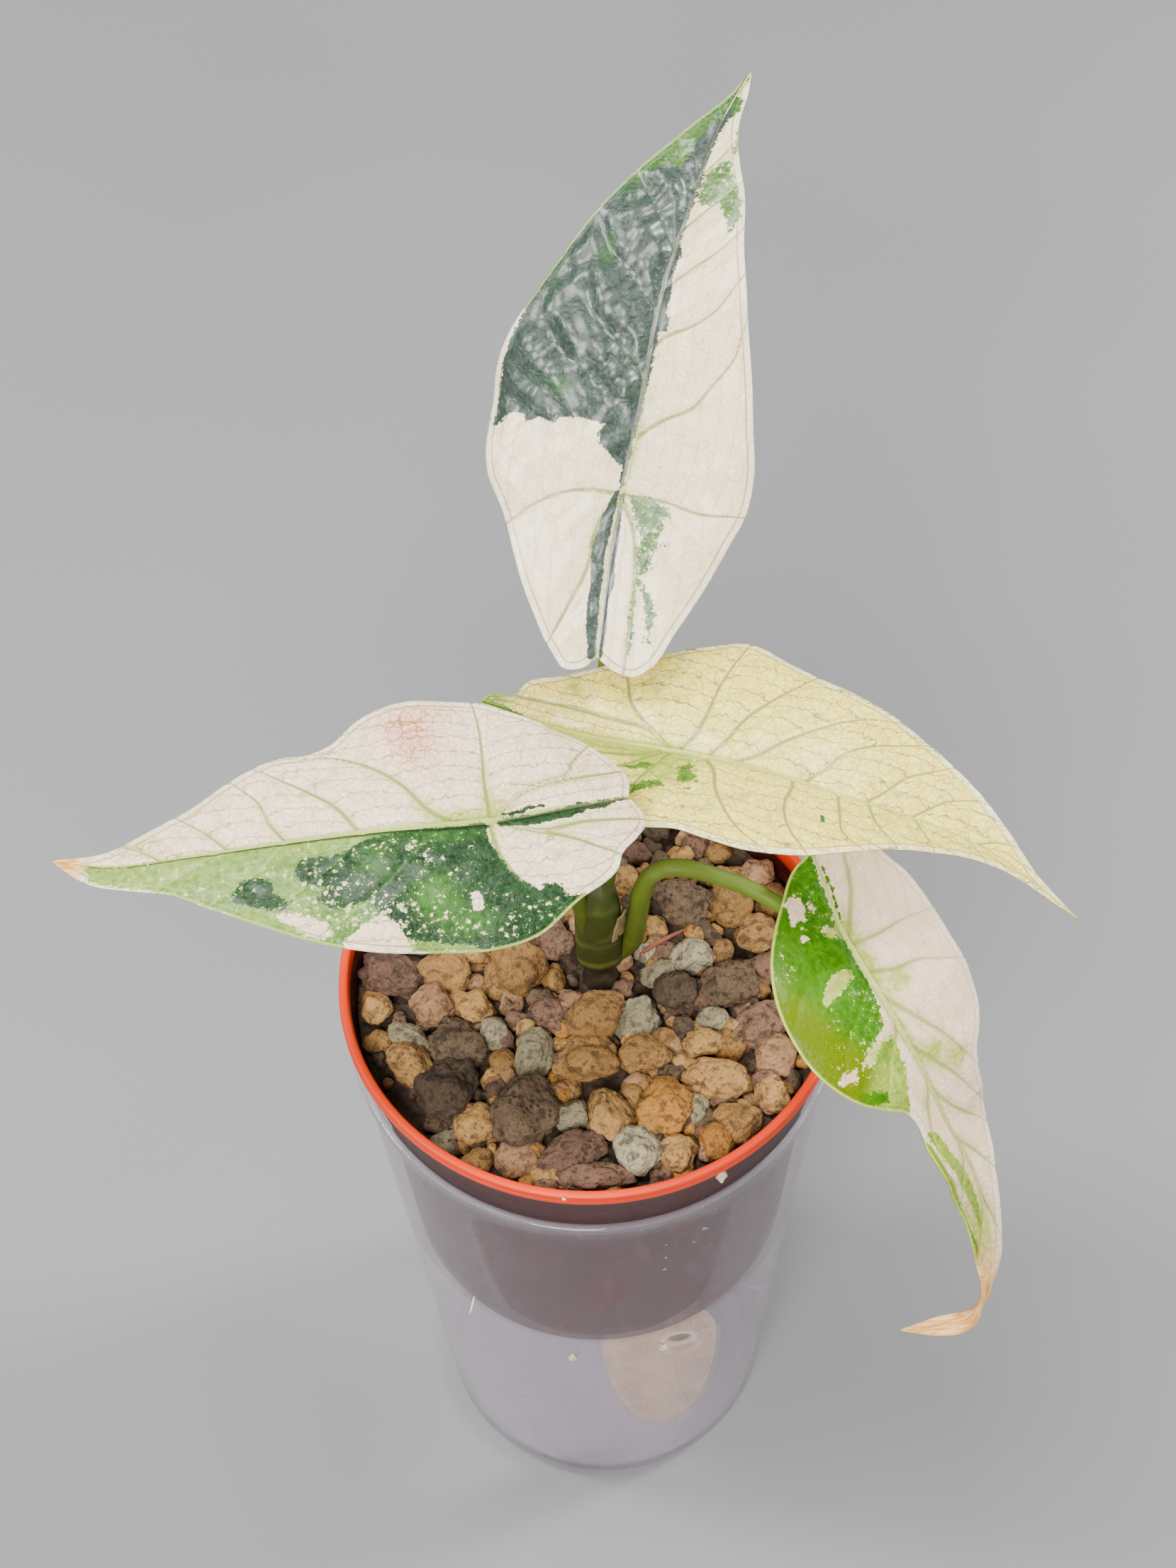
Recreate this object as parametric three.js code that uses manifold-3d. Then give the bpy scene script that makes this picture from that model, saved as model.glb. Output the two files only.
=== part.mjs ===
// A variegated alocasia rooted in gravel in a nursery pot, whose collar hangs in the mouth of a clear cup.
// Millimetres, +Z up, origin at the middle of the cup's flat underside. The viewer stands on the -Y side.
import * as THREE from "three";
import { mergeVertices } from "three/addons/utils/BufferGeometryUtils.js";
import Module from "manifold-3d";

const wasm = await Module();
wasm.setup();

// Driving dimensions.
const GAP = 0.3; // clearance kept between neighbouring pieces
const MERGE = 1e-4; // points closer than this are one
const ROUND = 40; // sides of the cup and the pot
const CUP = { base: 31.9, rim: 43.2, height: 132.4, wall: 0.8, floor: 1.2, bead: 0.85 };
const POT = {
  top: 147.1, lip: 45, lipBand: 2.4, lipWidth: 1.9, // the rolled lip
  collar: 131.5, collarRadius: 41.9, collarSlope: 2.4 / 12.7, // the collar that rests on the cup's rim
  foot: 71.3, footRadius: 35.6, flare: 5, wall: 1, floor: 1.2, // the tapered body below it
};
const DRAIN = { holes: 6, ring: 25.3, radius: 4.5, first: -65.5, sides: 14 }; // the first passes the wick
const GRAVEL = { top: 139.6, sides: 32, smallest: 4.2, largest: 7.6 }; // the bed's level, small stones' sizes
const SCATTER = { reach: 39.5, packing: 0.46, tries: 1500, seed: 29, stemRoom: 5 }; // how they are laid
const STONE = { inner: 0.96, uneven: 0.2, flatness: 0.42, proud: 0.8, blank: 1.3 }; // how a stone is shaped
const BLADE = { thickness: 0.7, keel: 0.9, keelWidth: 1.6, bendSpan: 20, rows: 28, waveLength: 23 };
const BLADE_SHARES = [0.08, 0.3, 0.54, 0.78, 1]; // where the net's columns lie between midline and margin
const SOCKET = { half: 7, reach: 9, steps: 6, height: 9 }; // the space kept for a blade over its petiole
const PETIOLE = { sides: 8, steps: 14 };
const STEM_FOOT = new THREE.Vector2(1.7, 3.3);
const STEM_ROD = { steps: 14, sides: 12 };
const ROOT_ROD = { steps: 6, sides: 6 };
const WICK = {
  x: 10.6, y: -23.6, top: 72.5, bottom: 8, thickness: 1.6, neck: 7, width: 22.5,
  neckLength: 6, shoulder: 12, widest: 22, taper: 40, // measured down from its top
};

// Smooth values through unevenly spaced stations, straight beyond both ends. Each row is one station.
function through(at, rows, t) {
  const last = at.length - 1;
  const slope = (i, k) => {
    if (i === 0) return (rows[1][k] - rows[0][k]) / (at[1] - at[0]);
    if (i === last) return (rows[last][k] - rows[last - 1][k]) / (at[last] - at[last - 1]);
    const before = at[i] - at[i - 1];
    const after = at[i + 1] - at[i];
    const rise = (rows[i][k] - rows[i - 1][k]) / before;
    const nextRise = (rows[i + 1][k] - rows[i][k]) / after;
    return (rise * after + nextRise * before) / (before + after);
  };
  if (t <= at[0]) return rows[0].map((value, k) => value + (t - at[0]) * slope(0, k));
  if (t >= at[last]) return rows[last].map((value, k) => value + (t - at[last]) * slope(last, k));
  let i = 0;
  while (t >= at[i + 1]) i += 1;
  const h = at[i + 1] - at[i];
  const s = (t - at[i]) / h;
  const toNext = s * s * (3 - 2 * s);
  return rows[i].map((value, k) => (
    value * (1 - toNext) + rows[i + 1][k] * toNext
    + h * slope(i, k) * s * (1 - s) ** 2 - h * slope(i + 1, k) * s * s * (1 - s)
  ));
}

// Distance along a chain of points, counted in straight steps.
function chainLengths(points) {
  const lengths = [0];
  for (let i = 1; i < points.length; i += 1) {
    const step = Math.hypot(...points[i].map((value, k) => value - points[i - 1][k]));
    lengths.push(lengths[i - 1] + step);
  }
  return lengths;
}

// The same sequence of draws for the same seed.
function randomFrom(seed) {
  let state = seed;
  return () => {
    state = (state * 16807) % 2147483647;
    return state / 2147483647;
  };
}

// Points and triangles as a closed geometry with its faces pointing out.
function closedGeometry(points, triangles) {
  const geometry = new THREE.BufferGeometry();
  geometry.setAttribute("position", new THREE.Float32BufferAttribute(points.flat(), 3));
  let volume = 0;
  for (const [a, b, c] of triangles) {
    const [p, q, r] = [points[a], points[b], points[c]];
    volume += p[0] * (q[1] * r[2] - q[2] * r[1]);
    volume += p[1] * (q[2] * r[0] - q[0] * r[2]);
    volume += p[2] * (q[0] * r[1] - q[1] * r[0]);
  }
  geometry.setIndex(triangles.flatMap(([a, b, c]) => (volume > 0 ? [a, b, c] : [a, c, b])));
  return geometry;
}

function pointsOf(geometry) {
  const position = geometry.getAttribute("position");
  const point = new THREE.Vector3();
  return Array.from({ length: position.count }, (_, i) => point.fromBufferAttribute(position, i).toArray());
}

// A solid for cutting and joining.
function solid(geometry) {
  const bare = geometry.clone();
  bare.deleteAttribute("normal");
  bare.deleteAttribute("uv");
  const merged = mergeVertices(bare, MERGE);
  return new wasm.Manifold(new wasm.Mesh({
    numProp: 3,
    vertProperties: new Float32Array(merged.getAttribute("position").array),
    triVerts: new Uint32Array(merged.getIndex().array),
  }));
}

function geometryOf(body) {
  const mesh = body.getMesh();
  const geometry = new THREE.BufferGeometry();
  geometry.setAttribute("position", new THREE.BufferAttribute(mesh.vertProperties, 3));
  geometry.setIndex(new THREE.BufferAttribute(mesh.triVerts, 1));
  return geometry;
}

// A profile of [radius, height] turned round the Z axis.
function turned(profile, sides = ROUND) {
  const lathe = new THREE.LatheGeometry(profile.map(([r, z]) => new THREE.Vector2(r, z)), sides);
  lathe.rotateX(Math.PI / 2);
  lathe.deleteAttribute("normal");
  lathe.deleteAttribute("uv");
  const merged = mergeVertices(lathe, MERGE);
  const index = Array.from(merged.getIndex().array);
  const triangles = [];
  for (let i = 0; i < index.length; i += 3) {
    const [a, b, c] = index.slice(i, i + 3);
    if (a !== b && b !== c && a !== c) triangles.push([a, b, c]);
  }
  return closedGeometry(pointsOf(merged), triangles);
}

// A round rod of changing thickness through the points [x, y, z, radius], closed at both ends.
function rod(stations, steps, sides, extra = 0) {
  const at = chainLengths(stations.map((station) => station.slice(0, 3)));
  const points = [];
  const triangles = [];
  let side = new THREE.Vector3(1, 0, 0);
  for (let i = 0; i <= steps; i += 1) {
    const t = (at[at.length - 1] * i) / steps;
    const [x, y, z, radius] = through(at, stations, t);
    const ahead = new THREE.Vector3(...through(at, stations, t + 0.1));
    const direction = ahead.sub(new THREE.Vector3(...through(at, stations, t - 0.1))).normalize();
    side = side.clone().addScaledVector(direction, -side.dot(direction)).normalize();
    const other = new THREE.Vector3().crossVectors(direction, side);
    for (let j = 0; j < sides; j += 1) {
      const angle = (2 * Math.PI * j) / sides;
      const spoke = side.clone().multiplyScalar(Math.cos(angle)).addScaledVector(other, Math.sin(angle));
      points.push(new THREE.Vector3(x, y, z).addScaledVector(spoke, radius + extra).toArray());
      if (i === 0) continue;
      const here = i * sides + j;
      const next = i * sides + ((j + 1) % sides);
      triangles.push([here - sides, next - sides, next], [here - sides, next, here]);
    }
  }
  const top = steps * sides;
  for (let j = 1; j < sides - 1; j += 1) {
    triangles.push([0, j + 1, j], [top, top + j, top + j + 1]);
  }
  return closedGeometry(points, triangles);
}

// The leaves. A spine runs under the midline from the notch to the tip. Its stations are
// [x, y, z, roll, lift left, lift right, bend left, bend right]: millimetres, then degrees. Left and
// right are seen from the notch towards the tip. The two margins are drawn on the flattened
// blade as [distance along the midline, distance from it].
const LEAVES = {
  back: {
    color: 0xd9dccb, keelEnd: 28, wave: [0.5, 0.6],
    spine: [
      [3.0, 25.1, 207, 0, 16, 12, 36, 32], [5.4, 39.6, 213, 0, 18, 12, 36, 32],
      [7.9, 50.1, 218, 0, 18, 14, 32, 28], [11.6, 62.1, 226, 0, 18, 16, 32, 28],
      [15.6, 77.3, 236, 0, 18, 16, 34, 28], [21.3, 91.6, 243, 0, 16, 14, 36, 28],
      [27.1, 106.4, 248, 0, 14, 14, 36, 28], [33.3, 117.7, 250, 0, 12, 12, 32, 28],
    ],
    left: [
      [0, 0], [-2.2, 2.5], [-2.6, 5.4], [0, 7.8], [7.4, 12.1], [15.5, 16.2], [22.5, 19.7], [28.7, 23.7],
      [36, 25.8], [45, 26.8], [52, 25], [60, 21.5], [72, 16.3], [83, 11.1], [92, 5.4], [100, 1.6], [108, 0],
    ],
    right: [
      [0, 0], [-2.2, 3.2], [-2.9, 6.6], [-1, 9.3], [5, 12.5], [12.6, 16.2], [21.4, 19.3], [30.4, 21.9],
      [36, 21.8], [44, 19.6], [54.4, 17.4], [66, 14.6], [76, 10.8], [83, 8.6], [90, 5.5], [97, 3.1],
      [103, 1.8], [108, 0],
    ],
    petiole: [
      [1.7, 5.5, 158, 1.5], [2, 9.5, 168, 1.5], [3, 24, 184, 1.4], [5.5, 40, 201, 1.3], [7.9, 50.4, 220, 1.2],
    ],
  },
  left: {
    color: 0xc3cfae, keelEnd: 24.6, wave: [0.5, 2.4],
    spine: [
      [7.2, -2.7, 206, -4, 6, 8, 30, 22], [-0.9, -6.7, 210, -6, 8, 8, 30, 20],
      [-14.7, -10.7, 212.5, -8, 8, 6, 34, 14], [-32.3, -12.7, 214, -8, 8, 6, 34, 14],
      [-47.2, -13, 212, -8, 8, 8, 30, 18], [-64.5, -12, 207, -8, 8, 10, 26, 22],
      [-78.3, -10.1, 202, -8, 8, 10, 26, 24], [-87.8, -6.5, 199, -8, 8, 10, 26, 24],
    ],
    left: [
      [0, 0], [-0.6, 3], [-0.2, 5.6], [3, 8], [6.8, 10.3], [8.4, 12.7], [15, 16.2], [21.9, 20.5], [27, 21.5],
      [36, 21.3], [44.4, 20.4], [54, 17.7], [62, 14.2], [70, 10.3], [78, 6.5], [86, 4.6], [92.5, 3.4],
      [98, 1.4], [100.9, 0],
    ],
    right: [
      [0, 0], [-1.6, 3.6], [0, 7.6], [3.2, 13], [9, 16.2], [16.2, 19.2], [23.4, 22.5], [31, 23.3],
      [40, 22.2], [46, 20], [50.3, 16.5], [54, 15.1], [59, 15], [68.4, 12], [76.1, 7.8], [83.4, 5.1],
      [91.4, 2.3], [100.9, 0],
    ],
    petiole: [[-0.3, 2.3, 158, 1.5], [-2, 1.3, 170, 1.5], [-7, -3.5, 192, 1.4], [-14.8, -10.8, 214.5, 1.2]],
  },
  right: {
    color: 0xe6e6c4, keelEnd: 37.5, wave: [0.5, 4.1],
    spine: [
      [-17.5, 29.6, 189, 0, 22, 12, 30, 20], [-1.5, 19.1, 194, 0, 24, 14, 32, 22],
      [14.7, 12.5, 197, 2, 24, 22, 34, 24], [27.2, 6.7, 200, 4, 22, 26, 34, 26],
      [42, -0.4, 201, 4, 22, 28, 34, 30], [54.4, -4.4, 199, 2, 22, 28, 34, 30],
      [66.8, -9, 195, 0, 20, 26, 32, 30], [80.8, -18.1, 188, 0, 16, 20, 30, 30],
    ],
    left: [
      [0, 0], [0.8, 1.8], [5.8, 3.6], [6.6, 6], [12.5, 9.3], [21.3, 13.6], [30.8, 18], [38, 21.2],
      [44.3, 23.3], [50.5, 21.8], [57.7, 19.3], [65, 18], [72.5, 17], [81, 12.6], [89.2, 8.6], [96.3, 4.4],
      [102.6, 1.6], [107, 0.8], [113.3, 0],
    ],
    right: [
      [0, 0], [-1, 2.2], [-0.6, 5], [3, 8.5], [10, 12.5], [18, 16], [27, 18.6], [35, 19.4], [41.3, 18.2],
      [46, 17.5], [52, 18.4], [58, 18.6], [64, 16.8], [72.9, 12.3], [82.4, 8.1], [93, 4], [101, 1.8],
      [107, 0.9], [113.3, 0],
    ],
    petiole: [[3.6, 2.3, 158, 1.5], [5.4, 3.6, 170, 1.5], [10, 8, 184, 1.4], [14.9, 12.7, 199, 1.2]],
  },
  drooping: {
    color: 0xc4d08a, keelEnd: 20.3, wave: [0.4, 0.9],
    spine: [
      [38.2, 5.8, 177, 0, 14, 16, 30, 34], [40.3, -3.7, 177.5, 0, 14, 16, 30, 34],
      [43.7, -13.3, 175, 0, 16, 18, 34, 38], [49.5, -22.7, 170, 0, 18, 18, 34, 38],
      [55.2, -29.4, 161, 0, 18, 16, 34, 38], [59.8, -34, 150, 0, 16, 14, 34, 34],
      [64.6, -37.4, 139, 0, 14, 12, 30, 30], [67.6, -41.7, 128, 0, 12, 10, 26, 26],
      [68.6, -45.5, 119, -20, 10, 8, 20, 20], [67.5, -49, 111, -60, 4, 4, 10, 10],
      [64.7, -50.3, 106, -40, 4, 4, 10, 10], [59.1, -51.1, 105, -10, 4, 4, 10, 10],
      [53, -51.9, 106, 0, 4, 4, 10, 10],
    ],
    left: [
      [0, 0], [-2, 2.5], [-2, 6], [1, 9.2], [6.3, 11.8], [12.4, 14.7], [20, 16.4], [29, 16.4], [37, 16.4],
      [42, 15.5], [45.5, 13.2], [48.3, 11], [54, 9.7], [61, 9.1], [66, 7], [72, 4.5], [80, 3], [90, 2.1],
      [98, 1], [102, 0.6], [106, 1.7], [112, 1.7], [116, 0.9], [119.3, 0],
    ],
    right: [
      [0, 0], [2.2, 1.2], [4.8, 4.1], [10.5, 8.4], [14.5, 11.5], [19.3, 14.8], [24.5, 17.2], [30, 18],
      [34.4, 17.6], [38, 16.3], [42, 14], [46, 10.4], [49.5, 7], [52.5, 6.2], [58.5, 7], [63, 7.3],
      [72, 6.2], [80, 4.5], [90, 3.3], [97, 1.8], [102, 0.7], [106, 1.6], [112, 1.8], [116.5, 0.8],
      [119.3, 0],
    ],
    petiole: [
      [6.6, 3.8, 140, 1.9], [7.5, 3.6, 150, 1.9], [8.4, 3.4, 160, 1.8], [9.4, 3.2, 168.5, 1.7],
      [11.2, 3.2, 173.7, 1.6], [14, 3, 175.8, 1.6], [17.5, 2.8, 175.5, 1.6], [22, 2.4, 173.6, 1.5],
      [26, 1.6, 172, 1.5], [31.6, -0.8, 170.2, 1.4], [38, -6.5, 170.3, 1.3], [43.6, -13.4, 177, 1.2],
    ],
  },
};

// The corm with its sheathed stem as [x, y, z, radius], and one root as [distance out, z, radius].
const STEM = [
  [1.7, 3.2, 124.5, 2.4], [1.7, 3.3, 128, 5], [1.7, 3.3, 132, 5.6], [1.7, 3.3, 137, 4.7],
  [1.7, 3.3, 142, 4.3], [1.6, 3.3, 150, 4.2], [1.6, 3.3, 158, 4.1], [1.7, 3.4, 163, 4],
  [1.8, 3.5, 167, 3.5],
];
const ROOT = [[1, 130, 1.2], [8, 125, 1], [14, 113, 0.8], [17, 96, 0.7]];
const ROOT_HEADINGS = [35, 125, 200, 290];

// The larger stones where they lie: [x, y, length, width, heading in degrees].
const LARGE_STONES = [
  [-35.5, 5, 11.4, 8.2, -15], [-26, 5, 9.5, 7.5, -20], [-14, 5.5, 10.1, 9.3, 0], [-28, -2, 7.8, 7.1, 0],
  [-38.5, -2, 5.1, 5.5, 0], [-21.5, -2, 8.9, 5.8, -20], [1, -5.5, 10.4, 7.9, 30], [8, -6, 8.4, 6.3, 60],
  [-24.5, -9.5, 10.1, 8.2, -60], [-32.5, -14.5, 9.6, 6.8, -60], [-32.5, -8, 7.6, 5.5, -40],
  [-10.5, -12.5, 9.6, 6.2, 80], [-1.5, -14, 10.4, 8.5, -5], [9, -13.5, 8.4, 6.6, 15],
  [-26, -19.5, 10.6, 9.6, 60], [-21.5, -26, 6.6, 6.8, 30], [-12, -24.5, 12.7, 10.3, 50],
  [2, -25.5, 9.1, 8.2, 70], [11.5, -25, 9.6, 10.1, 0], [-4, -25.5, 5.8, 6, 0], [21.5, -19, 13.4, 6.8, -10],
  [25, -27.5, 8.4, 6.8, 0], [31, -22.5, 5.8, 5.8, 0], [17.5, -25, 5.3, 5.5, 0], [7, -33, 7.6, 7.5, 90],
  [-4.5, -32.5, 11.4, 7.5, 20], [-1, -38, 11.6, 5.5, 0], [14, -33.5, 5.8, 6, 0], [20.5, -31.5, 5.8, 6, 0],
  [18, 6.5, 6.8, 6.6, -45], [25, 0, 9.1, 8.2, 0], [15, -1.5, 7.6, 6.6, 90], [29.5, -8, 10.6, 7.1, 20],
  [17, 18, 10.6, 7.7, -10], [31, 24, 5.3, 5.5, 0], [32, -15, 7.8, 6.3, 80], [-6.5, 11, 7.6, 6, 80],
  [30, 11, 6.6, 6.3, 0], [19.5, -12, 6.1, 4.9, 0], [-17.5, -8, 5.3, 5.5, 0],
];

function spineLengths(leaf) {
  return chainLengths(leaf.spine.map((station) => station.slice(0, 3)));
}

// A point on the bent blade. x and y lie on the flattened blade, with x negative on the left half, and
// offset is measured along the blade's own upward normal.
function bladePoint(leaf, x, y, offset) {
  const at = spineLengths(leaf);
  const values = through(at, leaf.spine, y);
  const before = through(at, leaf.spine, y - 0.2);
  const after = through(at, leaf.spine, y + 0.2);
  const along = new THREE.Vector3(...after).sub(new THREE.Vector3(...before)).normalize();
  const level = new THREE.Vector3().crossVectors(along, new THREE.Vector3(0, 0, 1)).normalize();
  const upright = new THREE.Vector3().crossVectors(level, along);
  const roll = THREE.MathUtils.degToRad(values[3]);
  const across = level.clone().multiplyScalar(Math.cos(roll)).addScaledVector(upright, -Math.sin(roll));
  const normal = level.multiplyScalar(Math.sin(roll)).addScaledVector(upright, Math.cos(roll));
  const [lift, bend] = x > 0 ? [values[5], values[7]] : [values[4], values[6]];
  const start = THREE.MathUtils.degToRad(lift);
  const curl = THREE.MathUtils.degToRad(bend) / BLADE.bendSpan;
  const reach = Math.abs(x);
  const side = Math.sign(x);
  const angle = start - curl * reach;
  const [height, phase] = leaf.wave;
  const cycle = (2 * Math.PI * y) / BLADE.waveLength + phase + side;
  const wave = height * Math.sin(cycle) * (reach / BLADE.bendSpan) ** 2;
  const out = (Math.sin(start) - Math.sin(angle)) / curl;
  const up = (Math.cos(angle) - Math.cos(start)) / curl;
  const lifted = offset + wave;
  return new THREE.Vector3(values[0], values[1], values[2])
    .addScaledVector(across, side * (out - lifted * Math.sin(angle)))
    .addScaledVector(normal, up + lifted * Math.cos(angle))
    .toArray();
}

// How far the midrib stands out below the blade.
function keelDepth(leaf, x, y) {
  const length = spineLengths(leaf).at(-1);
  const fade = y > leaf.keelEnd ? (length - y) / (length - leaf.keelEnd) : 0.75 + (0.25 * y) / leaf.keelEnd;
  return BLADE.keel * Math.max(fade, 0) * Math.max(1 - Math.abs(x) / BLADE.keelWidth, 0);
}

// Two copies of a flat net of triangles, one below the other, joined along the net's border.
function plate(net, border, triangles, upper, lower) {
  const count = net.length;
  const points = [...net.map(upper), ...net.map(lower)];
  const faces = triangles.flatMap(([a, b, c]) => [[a, b, c], [a + count, c + count, b + count]]);
  border.forEach((a, i) => {
    const b = border[(i + 1) % border.length];
    faces.push([a, a + count, b + count], [a, b + count, b]);
  });
  return closedGeometry(points, faces);
}

// The blade: both halves share the midline, and run from it to their margins in rows.
function blade(leaf) {
  const length = spineLengths(leaf).at(-1);
  const columns = BLADE_SHARES.length;
  const { rows } = BLADE;
  const net = [];
  for (let i = 0; i <= rows; i += 1) net.push([0, (length * i) / rows]);
  const triangles = [];
  const margins = {};
  for (const [name, side] of [["left", -1], ["right", 1]]) {
    const outline = leaf[name];
    const at = chainLengths(outline);
    const first = net.length;
    for (let i = 1; i < rows; i += 1) {
      const [along, away] = through(at, outline, (at[at.length - 1] * i) / rows);
      const start = (length * i) / rows;
      for (const share of BLADE_SHARES) net.push([side * away * share, start + (along - start) * share]);
    }
    const vertex = (i, j) => {
      if (i === 0 || i === rows || j === 0) return i;
      return first + (i - 1) * columns + j - 1;
    };
    for (let i = 0; i < rows; i += 1) {
      for (let j = 0; j < columns; j += 1) {
        const corners = [vertex(i, j), vertex(i, j + 1), vertex(i + 1, j + 1), vertex(i + 1, j)];
        const [a, b, c, d] = side > 0 ? corners : [corners[0], corners[3], corners[2], corners[1]];
        triangles.push(...[[a, b, c], [a, c, d]].filter((face) => new Set(face).size === 3));
      }
    }
    margins[name] = Array.from({ length: rows - 1 }, (_, i) => vertex(i + 1, columns));
  }
  const border = [0, ...margins.right, rows, ...margins.left.reverse()];
  const half = BLADE.thickness / 2;
  return plate(
    net, border, triangles,
    ([x, y]) => bladePoint(leaf, x, y, half),
    ([x, y]) => bladePoint(leaf, x, y, -half - keelDepth(leaf, x, y)),
  );
}

// The space that a blade takes round the end of its petiole, and all above it.
function bladeSpace(leaf) {
  const { half, reach, steps, height } = SOCKET;
  const { keelWidth } = BLADE;
  const across = [-half, -half / 2, -keelWidth, 0, keelWidth, half / 2, half];
  const along = across.map((_, i) => leaf.keelEnd - reach + (2 * reach * i) / steps);
  const net = along.flatMap((y) => across.map((x) => [x, y]));
  const width = across.length;
  const triangles = [];
  const border = [];
  for (let i = 0; i < width - 1; i += 1) {
    for (let j = 0; j < width - 1; j += 1) {
      const corner = i * width + j;
      triangles.push([corner, corner + 1, corner + width + 1], [corner, corner + width + 1, corner + width]);
    }
  }
  for (let j = 0; j < width - 1; j += 1) border.push(j);
  for (let i = 0; i < width - 1; i += 1) border.push(i * width + width - 1);
  for (let j = width - 1; j > 0; j -= 1) border.push((width - 1) * width + j);
  for (let i = width - 1; i > 0; i -= 1) border.push(i * width);
  const under = BLADE.thickness / 2 + GAP;
  return plate(
    net, border, triangles,
    ([x, y]) => bladePoint(leaf, x, y, height),
    ([x, y]) => bladePoint(leaf, x, y, -under - keelDepth(leaf, x, y)),
  );
}

function petioleRod(leaf, extra = 0) {
  return solid(rod(leaf.petiole, PETIOLE.steps, PETIOLE.sides, extra));
}

function petiole(leaf) {
  return geometryOf(petioleRod(leaf).subtract(solid(bladeSpace(leaf))));
}

// The stem with its corm and roots, swollen by extra where it is used to clear a neighbour.
function stemBody(extra = 0) {
  const [x, y] = STEM_FOOT.toArray();
  let body = solid(rod(STEM, STEM_ROD.steps, STEM_ROD.sides, extra));
  for (const heading of ROOT_HEADINGS) {
    const angle = THREE.MathUtils.degToRad(heading);
    const [east, north] = [Math.cos(angle), Math.sin(angle)];
    const root = ROOT.map(([out, z, radius]) => [x + out * east, y + out * north, z, radius]);
    body = body.add(solid(rod(root, ROOT_ROD.steps, ROOT_ROD.sides, extra)));
  }
  return body;
}

function stem() {
  let body = stemBody();
  for (const leaf of Object.values(LEAVES)) body = body.subtract(petioleRod(leaf, GAP));
  return geometryOf(body);
}

// The collar's outer radius, and the pot's inner radius, at a height.
function collarRadius(z) {
  return POT.collarRadius + (z - POT.collar) * POT.collarSlope;
}

function potInside(z) {
  if (z >= POT.collar) return collarRadius(z) - POT.wall;
  const share = (z - POT.foot) / (POT.collar - POT.foot);
  return POT.footRadius + share * POT.flare - POT.wall;
}

function pot() {
  const { foot, footRadius, flare, collar, lip, lipBand, lipWidth, top, wall, floor } = POT;
  const inner = foot + floor;
  const underLip = top - lipBand - 0.4;
  const outside = [
    [0, foot], [footRadius - 2.2, foot], [footRadius - 0.7, foot + 0.6], [footRadius, foot + 2],
    [footRadius + flare - 0.1, collar - 0.8], [collarRadius(collar), collar],
    [collarRadius(underLip), underLip],
  ];
  const rolled = [
    [lip - 0.4, top - lipBand], [lip, top - 1.8], [lip, top - 0.7], [lip - 0.4, top], [lip - 1.5, top],
    [lip - lipWidth, top - 0.6], [collarRadius(top - 3) - wall, top - 3],
  ];
  const inside = [
    [collarRadius(collar + 0.8) - wall, collar + 0.8], [potInside(collar - 0.6), collar - 0.6],
    [potInside(inner + 2), inner + 2], [potInside(inner) - 1.6, inner], [0, inner],
  ];
  const profile = [...outside, ...rolled, ...inside];
  let body = solid(turned(profile));
  for (let i = 0; i < DRAIN.holes; i += 1) {
    const angle = THREE.MathUtils.degToRad(DRAIN.first + (360 * i) / DRAIN.holes);
    const drill = new THREE.CylinderGeometry(DRAIN.radius, DRAIN.radius, 4 * floor, DRAIN.sides);
    drill.rotateX(Math.PI / 2);
    drill.translate(DRAIN.ring * Math.cos(angle), DRAIN.ring * Math.sin(angle), foot + floor / 2);
    body = body.subtract(solid(drill));
  }
  return geometryOf(body);
}

function cup() {
  const { base, rim, height, wall, floor, bead } = CUP;
  const wallRadius = (z) => base + ((rim - base) * z) / height;
  const profile = [[0, 0], [base - 2.4, 0], [base - 1, 0.5], [base - 0.1, 1.6], [wallRadius(3), 3]];
  profile.push([wallRadius(height - 1.1), height - 1.1]);
  for (let i = 0; i <= 6; i += 1) {
    const angle = THREE.MathUtils.degToRad(-45 + 45 * i);
    profile.push([rim + bead * Math.cos(angle), height + bead * Math.sin(angle)]);
  }
  profile.push([wallRadius(height - 1.3) - wall, height - 1.3], [wallRadius(3.4) - wall, 3.4]);
  profile.push([wallRadius(1.9) - wall - 0.7, 1.9], [base - wall - 2.2, floor], [0, floor]);
  return turned(profile);
}

// A length of felt that hangs through a drain hole towards the cup's floor.
function wick() {
  const { x, y, top, bottom, thickness } = WICK;
  const [neck, half] = [WICK.neck / 2, WICK.width / 2];
  const [neckEnd, shoulder] = [top - WICK.neckLength, top - WICK.shoulder];
  const [widest, taper] = [top - WICK.widest, top - WICK.taper];
  const shape = new THREE.Shape();
  shape.moveTo(-neck, top);
  shape.lineTo(-neck, neckEnd);
  shape.bezierCurveTo(-neck, shoulder, -half, shoulder, -half, widest);
  shape.bezierCurveTo(-half, taper, -WICK.width / 3, bottom, 0, bottom);
  shape.bezierCurveTo(WICK.width / 3, bottom, half, taper, half, widest);
  shape.bezierCurveTo(half, shoulder, neck, shoulder, neck, neckEnd);
  shape.lineTo(neck, top);
  const strip = new THREE.ExtrudeGeometry(shape, { depth: thickness, bevelEnabled: false, curveSegments: 6 });
  strip.rotateX(Math.PI / 2);
  strip.translate(x, y + thickness / 2, 0);
  return geometryOf(solid(strip));
}

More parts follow.
